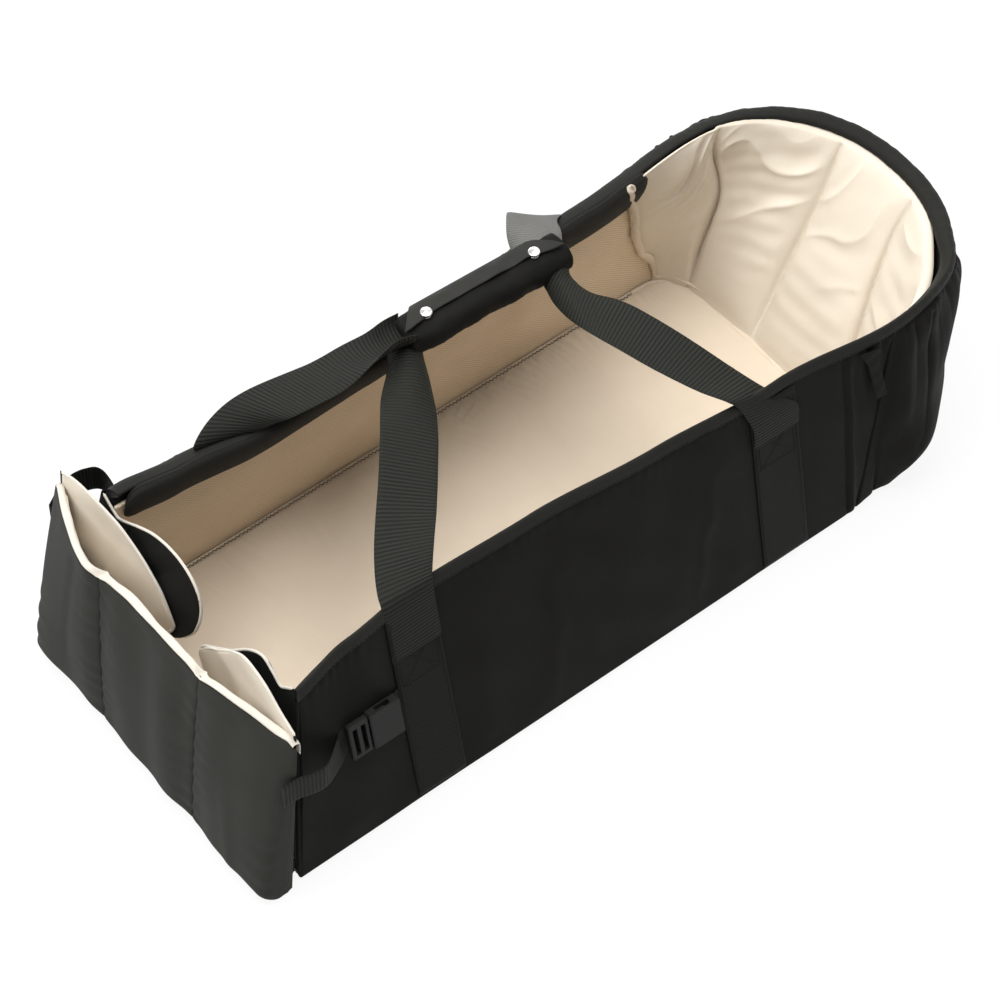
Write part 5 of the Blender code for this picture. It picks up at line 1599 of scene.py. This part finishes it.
legLook = {
    # wall: two points on the wall, each as x from the sling, drop below the rim and distance out of it.
    # path: the points from there to the wrap. The last three numbers of a point are the
    # direction of the webbing's width. gutter: share of the length where it starts to bend round the
    # wrap's mouth, and the bend in radians. root: y and z where the piece leaves the tub for its body.
    "near_foot_leg": {
        "body": "handle",
        "nodes": ["near_handle_webbing"],
        "paint": ribbedWebbing,
        "wall": ((0, 0.058, 0.0042, 1, 0, 0), (0, 0.022, 0.0044, 1, 0, 0)),
        "path": (
            (-0.2250, -0.1195, 0.2262, 1, -0.04, 0),
            (-0.2190, -0.1080, 0.2325, 0.96, -0.20, 0),
            (-0.200, -0.083, 0.2372, 0.88, -0.42, 0),
            (-0.163, -0.040, 0.2420, 0.78, -0.57, -0.26),
            (-0.121, 0.012, 0.2440, 0.75, -0.60, -0.28),
            (-0.089, 0.052, 0.2430, 0.80, -0.56, -0.22),
            (-0.074, 0.078, 0.2400, 0.86, -0.45, -0.1),
            (-0.066, 0.089, 0.2385, 0.9, -0.3, 0),
        ),
        "gutter": (0.62, 3.5),
        "root": ((-0.124, 0.215), (-0.114, 0.232)),
    },
    "near_head_leg": {
        "body": "handle",
        "nodes": [],
        "paint": ribbedWebbing,
        "wall": ((-0.008, 0.058, 0.0042, 1, 0, 0), (-0.0105, 0.032, 0.0048, 1, 0, -0.06)),
        "path": (
            (0.1325, -0.1400, 0.2165, 0.93, -0.02, -0.36),
            (0.1214, -0.1305, 0.2290, 0.89, 0.20, -0.41),
            (0.1108, -0.1070, 0.2328, 0.919, 0.267, -0.291),
            (0.1025, -0.0832, 0.2357, 0.929, 0.319, -0.189),
            (0.0944, -0.0589, 0.2386, 0.923, 0.368, -0.11),
            (0.0869, -0.0339, 0.2404, 0.901, 0.426, -0.08),
            (0.0797, -0.0082, 0.2411, 0.866, 0.492, -0.09),
            (0.0745, 0.0200, 0.2415, 0.80, 0.57, -0.20),
            (0.0760, 0.0500, 0.2405, 0.86, 0.48, -0.15),
            (0.0830, 0.0730, 0.2390, 1, 0.1, 0),
        ),
        "gutter": (0.66, 3.3),
        "root": ((-0.140, 0.215), (-0.130, 0.232)),
    },
    "far_foot_leg": {
        "body": "far_handle",
        "nodes": ["far_handle_foot_leg"],
        "paint": ribbedWebbing,
        "wall": ((0, 0.058, 0.0042, -1, 0, 0), (-0.002, 0.022, 0.0046, -1, 0, 0)),
        "path": (
            (-0.2497, 0.1035, 0.2240, -0.95, 0.15, 0.2),
            (-0.2278, 0.0997, 0.2390, -0.70, 0.68, 0.12),
            (-0.2040, 0.0936, 0.2480, -0.34, 0.94, 0),
            (-0.1632, 0.0870, 0.2500, -0.14, 0.97, -0.16),
            (-0.1283, 0.0825, 0.2510, 0.0, 0.94, -0.34),
            (-0.1020, 0.0800, 0.2475, 0.06, 0.90, -0.42),
            (-0.0860, 0.0830, 0.2430, 0.06, 0.94, -0.30),
            (-0.0690, 0.0850, 0.2400, 0.03, 1, 0),
        ),
        "gutter": (0.66, 3.4),
        "root": ((0.124, 0.212), (0.110, 0.236)),
    },
    "far_head_leg": {
        "body": "far_handle",
        "nodes": ["far_handle_head_leg"],
        # lighter webbing: partly a paler grey, partly a painted highlight
        "paint": paleLitWebbing,
        "wall": ((0, 0.058, 0.0042, -1, 0, 0), (-0.022, 0.032, 0.0050, -1, 0, 0.05)),
        "path": (
            (0.1215, 0.1290, 0.2130, -0.97, 0.05, 0.20),
            (0.1075, 0.1275, 0.2320, -0.90, 0.20, 0.38),
            (0.0966, 0.1215, 0.2440, -0.80, 0.39, 0.45),
            (0.0850, 0.1030, 0.2500, -0.78, 0.55, 0.22),
            (0.0740, 0.0850, 0.2490, -0.75, 0.65, 0.04),
            (0.0700, 0.0790, 0.2450, -0.75, 0.65, 0),
        ),
        "gutter": (0.72, 2.6),
        "root": ((0.138, 0.212), (0.128, 0.240)),
    },
}


def wrapAxes():
    # the wrap's middle, the directions along and across it, and half its length
    foot, head = np.array(wrapLook["foot"]), np.array(wrapLook["head"])
    run = unit(head - foot)
    across = unit(np.cross([0, 0, 1], run))
    return (foot + head) / 2, run, across, np.linalg.norm(head - foot) / 2


def onWrap(x, y, z):
    # point beside the wrap: x along it from its middle, y across it, z above its axis
    middle, run, across, _ = wrapAxes()
    return middle + np.asarray(x)[..., None] * run + np.asarray(y)[..., None] * across + stack(0, 0, z)


def rimOver(x, sign, drop, out):
    # point of a side wall's outer face, drop below the rim and out from it
    v = 1 - np.asarray(drop) / cot["rimHeight"]
    return onSide(x, v, sign, out)


def makeLeg(name, look):
    # Webbing along a smooth curve through the points on the wall and those of the path; towards the wrap it
    # bends into a gutter so that it fits the mouth.
    sling = cot["slings"][1 if "head" in name else 0]
    sign = -1 if "near" in name else 1
    wall = [(*rimOver(sling + x, sign, drop, out), *width) for x, drop, out, *width in look["wall"]]
    run = curveThrough([*wall, *look["path"]], 0.0024)
    line, side = run[:, :3], run[:, 3:]
    far = lengths(line)
    start, curl = look["gutter"]
    bend = curl * eased(start, 1.0, far / far[-1])
    leg = strapBody(name, line, side, handleLook["width"], handleLook["thick"], [look["paint"]], bend, 19)
    if look["nodes"]:
        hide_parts(*look["nodes"])
    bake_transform(leg)


def makeWrap():
    # Sleeve: an oval tube with a soft hollow for the webbing; its rings run along the outside, turn in
    # at the mouths and come back along the inside. |cos|^0.75 and |sin|^0.75 square the oval a little.
    look = wrapLook
    _, _, _, half = wrapAxes()
    long = half - cot["gap"]
    t = crowded(look["rings"], 0.6)
    end = long + 0.006
    x = np.concatenate([mixed(-long, end, t), mixed(end, -long, crowded(30, 0.6))])
    outerRow = np.arange(len(x)) < look["rings"]
    nearEnd = np.clip(np.minimum(x + long, end - x) / 0.004, 0, 1)
    lip = np.sqrt(1 - (1 - nearEnd) ** 2)
    width = np.where(outerRow, look["width"] * mixed(0.93, 1, lip), look["slot"] * mixed(1.12, 1, lip))
    high = np.where(outerRow, look["height"] * mixed(0.86, 1, lip), look["slotHeight"] * mixed(1.5, 1, lip))
    pinch = 1 - 0.05 * np.cos(2 * np.pi * x / long * 0.5) ** 8
    turn = (np.arange(look["sides"]) + 0.5) / look["sides"] * 2 * np.pi
    c, s = np.cos(turn), np.sin(turn)
    y = np.sign(c) * np.abs(c) ** 0.75 * (width * pinch)[:, None] / 2
    z = np.sign(s) * np.abs(s) ** 0.75 * (high * pinch)[:, None] / 2
    place, girth = x[:, None], turn[None] * 0.012
    dent = 0.035 * rippled(place, girth, 0.035, 101) + 0.015 * rippled(place, girth, 0.012, 102)
    dent = 1 + outerRow[:, None] * dent
    rings = onWrap(place + 0 * y, y * dent, z * dent - 0.0012)
    sleeve = sweptBody("grip_wrap", rings, [shellCloth], looped=True)
    dress(sleeve, "handle", "shell_fabric", "grip_sleeve")
    line = onWrap(np.linspace(-long + 0.001, long - 0.001, 60), np.zeros(60), np.full(60, 0.0026))
    core = strapBody("far_webbing_run", line, np.tile(wrapAxes()[2], (60, 1)), 0.026, 0.0034, [ribbedWebbing])
    dress(core, "handle", "webbing", "far_webbing_core")


def makeLeaf():
    # Leaf: lies over the wrap from its far edge, falling by the cube of the way across; the near edge has a
    # pointed tongue at each end, and the press studs close it.
    look = leafLook
    half = wrapAxes()[3]
    long = half - cot["gap"]
    a, b = np.meshgrid(crowded(120, 0.3), crowded(30, 0.5), indexing="ij")
    far = long - look["endIn"] + look["tongue"] * b
    lx = mixed(-far, far, a)
    endAway = far - np.abs(lx)
    reach = look["reach"] + 0.0065 * bell(endAway, 0.004, 0.020)
    across = look["start"] - b * reach
    top = wrapLook["seat"] + 0.0015 - 0.0060 * np.clip(across / look["start"], 0, 1) ** 3
    sag = 0.0007 * rippled(lx, across, 0.03, 103) * eased(0.1, 0.5, b) + 0.0016 * b * eased(0.03, 0.0, endAway)
    face = onWrap(lx, across, top + look["thick"] + sag)
    back = onWrap(lx, across, top + sag)
    leaf = clothBody("grip_strip", face, back, [leafCloth], 0.0010)
    dress(leaf, "grip_leaf", "shell_fabric", "grip_leaf")
    2 * long
    float(2 * long * 0.0235)
    for end, x in (("foot", look["snapIn"] - half), ("head", half - look["snapIn"])):
        makeSnap(end, "stud", "handle", x)
        makeSnap(end, "cap", "grip_leaf", x)


def makeSnap(end, part, body, x):
    # Press stud: a profile turned round its axis, domed, with a rolled rim and a shallow dish.
    look = snapLook
    radius, height, lift = look[part]
    r = np.array(look["radiusShares"]) * radius
    h = np.array(look["heightShares"]) * height
    turn = np.arange(look["sides"]) / look["sides"] * 2 * np.pi
    z = wrapLook["seat"] + lift + h[:, None] + 0 * turn
    rings = onWrap(x + r[:, None] * np.cos(turn), r[:, None] * np.sin(turn), z)
    snap = sweptBody(end + "_" + part, rings, [snapMetal])
    dress(snap, body, "snap_metal", end + "_snap_" + part)


for name, look in legLook.items():
    makeLeg(name, look)
makeWrap()
makeLeaf()
print("handles dressed")


# Buckle straps, tab and plastics

buckleLook = {
    # the middle of the closed buckle on the wall, and how far it stands off
    "x": -0.289,
    "z": 0.125,
    "clear": 0.0032,
    "width": 0.040,
    "thick": 0.0100,
    "strap": 0.030,
    "strapThick": 0.0016,
    # height at which the long strap is sewn to the flap
    "sewnZ": 0.150,
}


def buckleAxes(sign):
    # origin, along the wall, up the wall and away from it
    look = buckleLook
    v = np.array([look["z"] - look["width"] / 2, look["z"] + look["width"] / 2]) / cot["rimHeight"]
    low, high = onSide(np.full(2, look["x"]), v, sign, np.zeros(2))
    up = unit(high - low)
    run = np.array([1.0, 0, 0])
    out = np.cross(run, up)
    out = out if out[1] * sign > 0 else -out
    return (low + high) / 2 + out * (look["thick"] / 2 + look["clear"]), run, up, out


def onBuckle(sign, x, y, z):
    # point beside the buckle: x along the wall, y up it and z away from it
    origin, run, up, out = buckleAxes(sign)
    return origin + x * run + y * up + z * out


def makeShortStrap(side, sign):
    # from the socket's bar to the foot sling's edge
    look = buckleLook
    up = buckleAxes(sign)[2]
    under = look["thick"] / 2 + 0.0011
    tail = onBuckle(sign, 0.023, 0, -under)
    beyond = onBuckle(sign, 0.029, 0, -under)
    end = onSide(np.array(cot["slings"][0] - 0.0256), np.array(look["z"] / cot["rimHeight"]), sign, 0.0020)
    line = curveThrough([tail, beyond, mixed(beyond, end, 0.5), end], 0.002)
    width = np.tile(up, (len(line), 1))
    short = strapBody(side + "_short_strap", line, width, look["strap"], look["strapThick"], [sewnWebbing])
    dress(short, "tub", "webbing", side + "_socket_strap")
    float(lengths(line)[-1])


def makeLongStrap(side, sign):
    # From the flap's edge, bowed out, up behind the clip, over its inner bar and back under itself. The far
    # one rises in a loop first.
    look = buckleLook
    up = buckleAxes(sign)[2]
    flapX = flapInnerX(flapLook["half"], look["sewnZ"])
    beside = sign * (flapLook["half"] + 0.0012 + look["strapThick"] / 2)
    start = np.array([flapX - 0.015, beside, look["sewnZ"]])
    if side == "near":
        bowed = [(0.016, 0, -0.0015), (0.032, sign * 0.0026, -0.0040), (0.045, sign * 0.0012, -0.0060)]
        path = [start] + [start + step for step in bowed]
    else:
        loop = [(-0.362, 0.1750, 0.172), (-0.340, 0.1760, 0.170), (-0.323, 0.1740, 0.154)]
        path = [start + [0.010, 0, 0.010]] + [np.array(place) for place in loop]
    clip = ((-0.030, -0.002, -0.0010), (-0.0215, 0, -0.0060), (-0.0140, 0, -0.0052))
    path += [onBuckle(sign, *place) for place in clip]
    sides = np.array([[0, 0, 1.0]] * 4 + [up] * 3)
    both = curveThrough(np.concatenate([np.array(path), sides], axis=1), 0.002)
    line, width = both[:, :3], both[:, 3:]
    long = strapBody(side + "_long_strap", line, width, look["strap"], look["strapThick"], [ribbedWebbing])
    dress(long, "foot_flap", "webbing", side + "_flap_strap")
    float(lengths(line)[-1])


tabLook = {
    # x of its top, and how much nearer the head its free end hangs
    "x": 0.2460,
    "slant": 0.0130,
    # half width at the seam and further down
    "topHalf": 0.0100,
    "half": 0.0058,
    # how far below the rim line it starts, how long it is, how far it stands off at both ends
    "drop": 0.0135,
    "length": 0.062,
    "lift": 0.0032,
    "more": 0.0030,
    "thick": 0.0016,
}


def makeTab():
    # Short folded tab: hangs from the rim's seam and stands off a little more, by the square of the way
    # down, towards its free end.
    look = tabLook
    a, b = np.meshgrid(crowded(20, 0.5), crowded(46, 0.5), indexing="ij")
    halfWide = mixed(look["topHalf"], look["half"], eased(0.0, 0.30, b))
    x = look["x"] + mixed(-1, 1, a) * halfWide + look["slant"] * b
    v = (1 - look["drop"] / cot["rimHeight"]) - b * look["length"] / cot["rimHeight"]
    lift = look["lift"] + look["more"] * b**2 + 0.0006 * rippled(x, b * 0.06, 0.02, 111)
    face = onSide(x, v, -1, lift + look["thick"])
    back = onSide(x, v, -1, lift)
    tab = clothBody("head_tab", face, back, [shellCloth], 0.0009)
    dress(tab, "tub", "shell_fabric", "near_head_tab")


for side, sign in (("near", -1), ("far", 1)):
    makeShortStrap(side, sign)
    makeLongStrap(side, sign)
    for part in ("buckle_socket", "buckle_clip", "clip_upper_arm", "clip_lower_arm"):
        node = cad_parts[side + "_" + part]
        node.data.materials.clear()
        node.data.materials.append(blackPlastic)
makeTab()
print("buckles and tab dressed")


# Camera, floor and light

cameraLook = {
    "place": (-1.2138, -1.4719, 2.5857),
    "azimuth": -38.70,
    "elevation": 53.11,
    "roll": 0.304,
    "lens": 129.67,
}


def makeCamera():
    # The camera's back points along (sin a cos e, -cos a cos e, sin e) for azimuth a and elevation e, and
    # its right and up are turned by the roll.
    look = cameraLook
    a, e, r = (math.radians(look[k]) for k in ("azimuth", "elevation", "roll"))
    back = Vector((math.sin(a) * math.cos(e), -math.cos(a) * math.cos(e), math.sin(e)))
    right = Vector((math.cos(a), math.sin(a), 0))
    up = back.cross(right)
    right, up = math.cos(r) * right + math.sin(r) * up, math.cos(r) * up - math.sin(r) * right
    data = bpy.data.cameras.new("camera")
    data.lens, data.sensor_width = look["lens"], 36.0
    camera = bpy.data.objects.new("camera", data)
    turn = camera.matrix_world.copy()
    for k, axis in enumerate((right, up, back)):
        for row in range(3):
            turn[row][k] = axis[row]
    turn.translation = Vector(look["place"])
    camera.matrix_world = turn
    bpy.context.scene.collection.objects.link(camera)
    bpy.context.scene.camera = camera


def seenOnly(board):
    # 1 for rays from the camera, from gloss and through glass, 0 for the light that falls on things
    kinds = ("Is Camera Ray", "Is Glossy Ray", "Is Transmission Ray")
    camera, gloss, glass = (board.node("ShaderNodeLightPath", {}, {}, kind) for kind in kinds)
    return (camera + gloss + glass).clipped()


def makeFloor():
    # White plane just under the cot that reflects 0.86 of the light. 0.90 of what the camera sees of it is
    # plain white.
    half, z = 6.0, -0.0004
    points = np.array([[-half, -half, z], [half, -half, z], [half, half, z], [-half, half, z]])
    paint = Paint("white_floor", Roughness=0.9)
    paint.base(rgb(0.86, 0.86, 0.86))
    glow = paint.node("ShaderNodeEmission", {}, {"Color": rgb(1, 1, 1), "Strength": 1.0})
    shaded = Wire(paint, paint.shader.outputs[0])
    both = paint.node("ShaderNodeMixShader", {}, {0: seenOnly(paint) * 0.90, 1: shaded, 2: glow})
    paint.feed(paint.tree.nodes["Material Output"].inputs["Surface"], both)
    floor = addMesh("studio_floor", points, [[0, 1, 2, 3]], np.zeros((4, 2)), [paint.material])


lamps = {
    # name: place, point lit, width, height, watts
    "key": ((-2.4, 0.5, 2.3), (0.0, 0.0, 0.1), 1.6, 1.6, 44.0),
    "sky": ((-0.25, 0.1, 3.2), (-0.1, 0.0, 0.0), 2.8, 2.8, 140.0),
    "rear": ((1.3, 2.2, 1.9), (0.1, 0.0, 0.1), 1.2, 1.2, 34.0),
}


def makeLights():
    # Area lamps that look at their points, and a white world: 1 as it is seen, 0.30 as it lights things.
    for name, (place, target, width, height, watts) in lamps.items():
        data = bpy.data.lights.new(name, "AREA")
        data.shape, data.size, data.size_y, data.energy = "RECTANGLE", width, height, watts
        lamp = bpy.data.objects.new(name, data)
        lamp.location = place
        lamp.rotation_euler = (Vector(place) - Vector(target)).to_track_quat("Z", "Y").to_euler()
        bpy.context.scene.collection.objects.link(lamp)
    world = bpy.data.worlds.new("studio")
    world.use_nodes = True
    bpy.context.scene.world = world
    sky = Board(world.node_tree)
    back = sky.tree.nodes["Background"]
    sky.feed(back.inputs["Color"], rgb(1, 1, 1))
    sky.feed(back.inputs["Strength"], seenOnly(sky) * 0.70 + 0.30)


makeCamera()
makeFloor()
makeLights()
bpy.context.scene.view_settings.view_transform = "Standard"
print("scene ready")
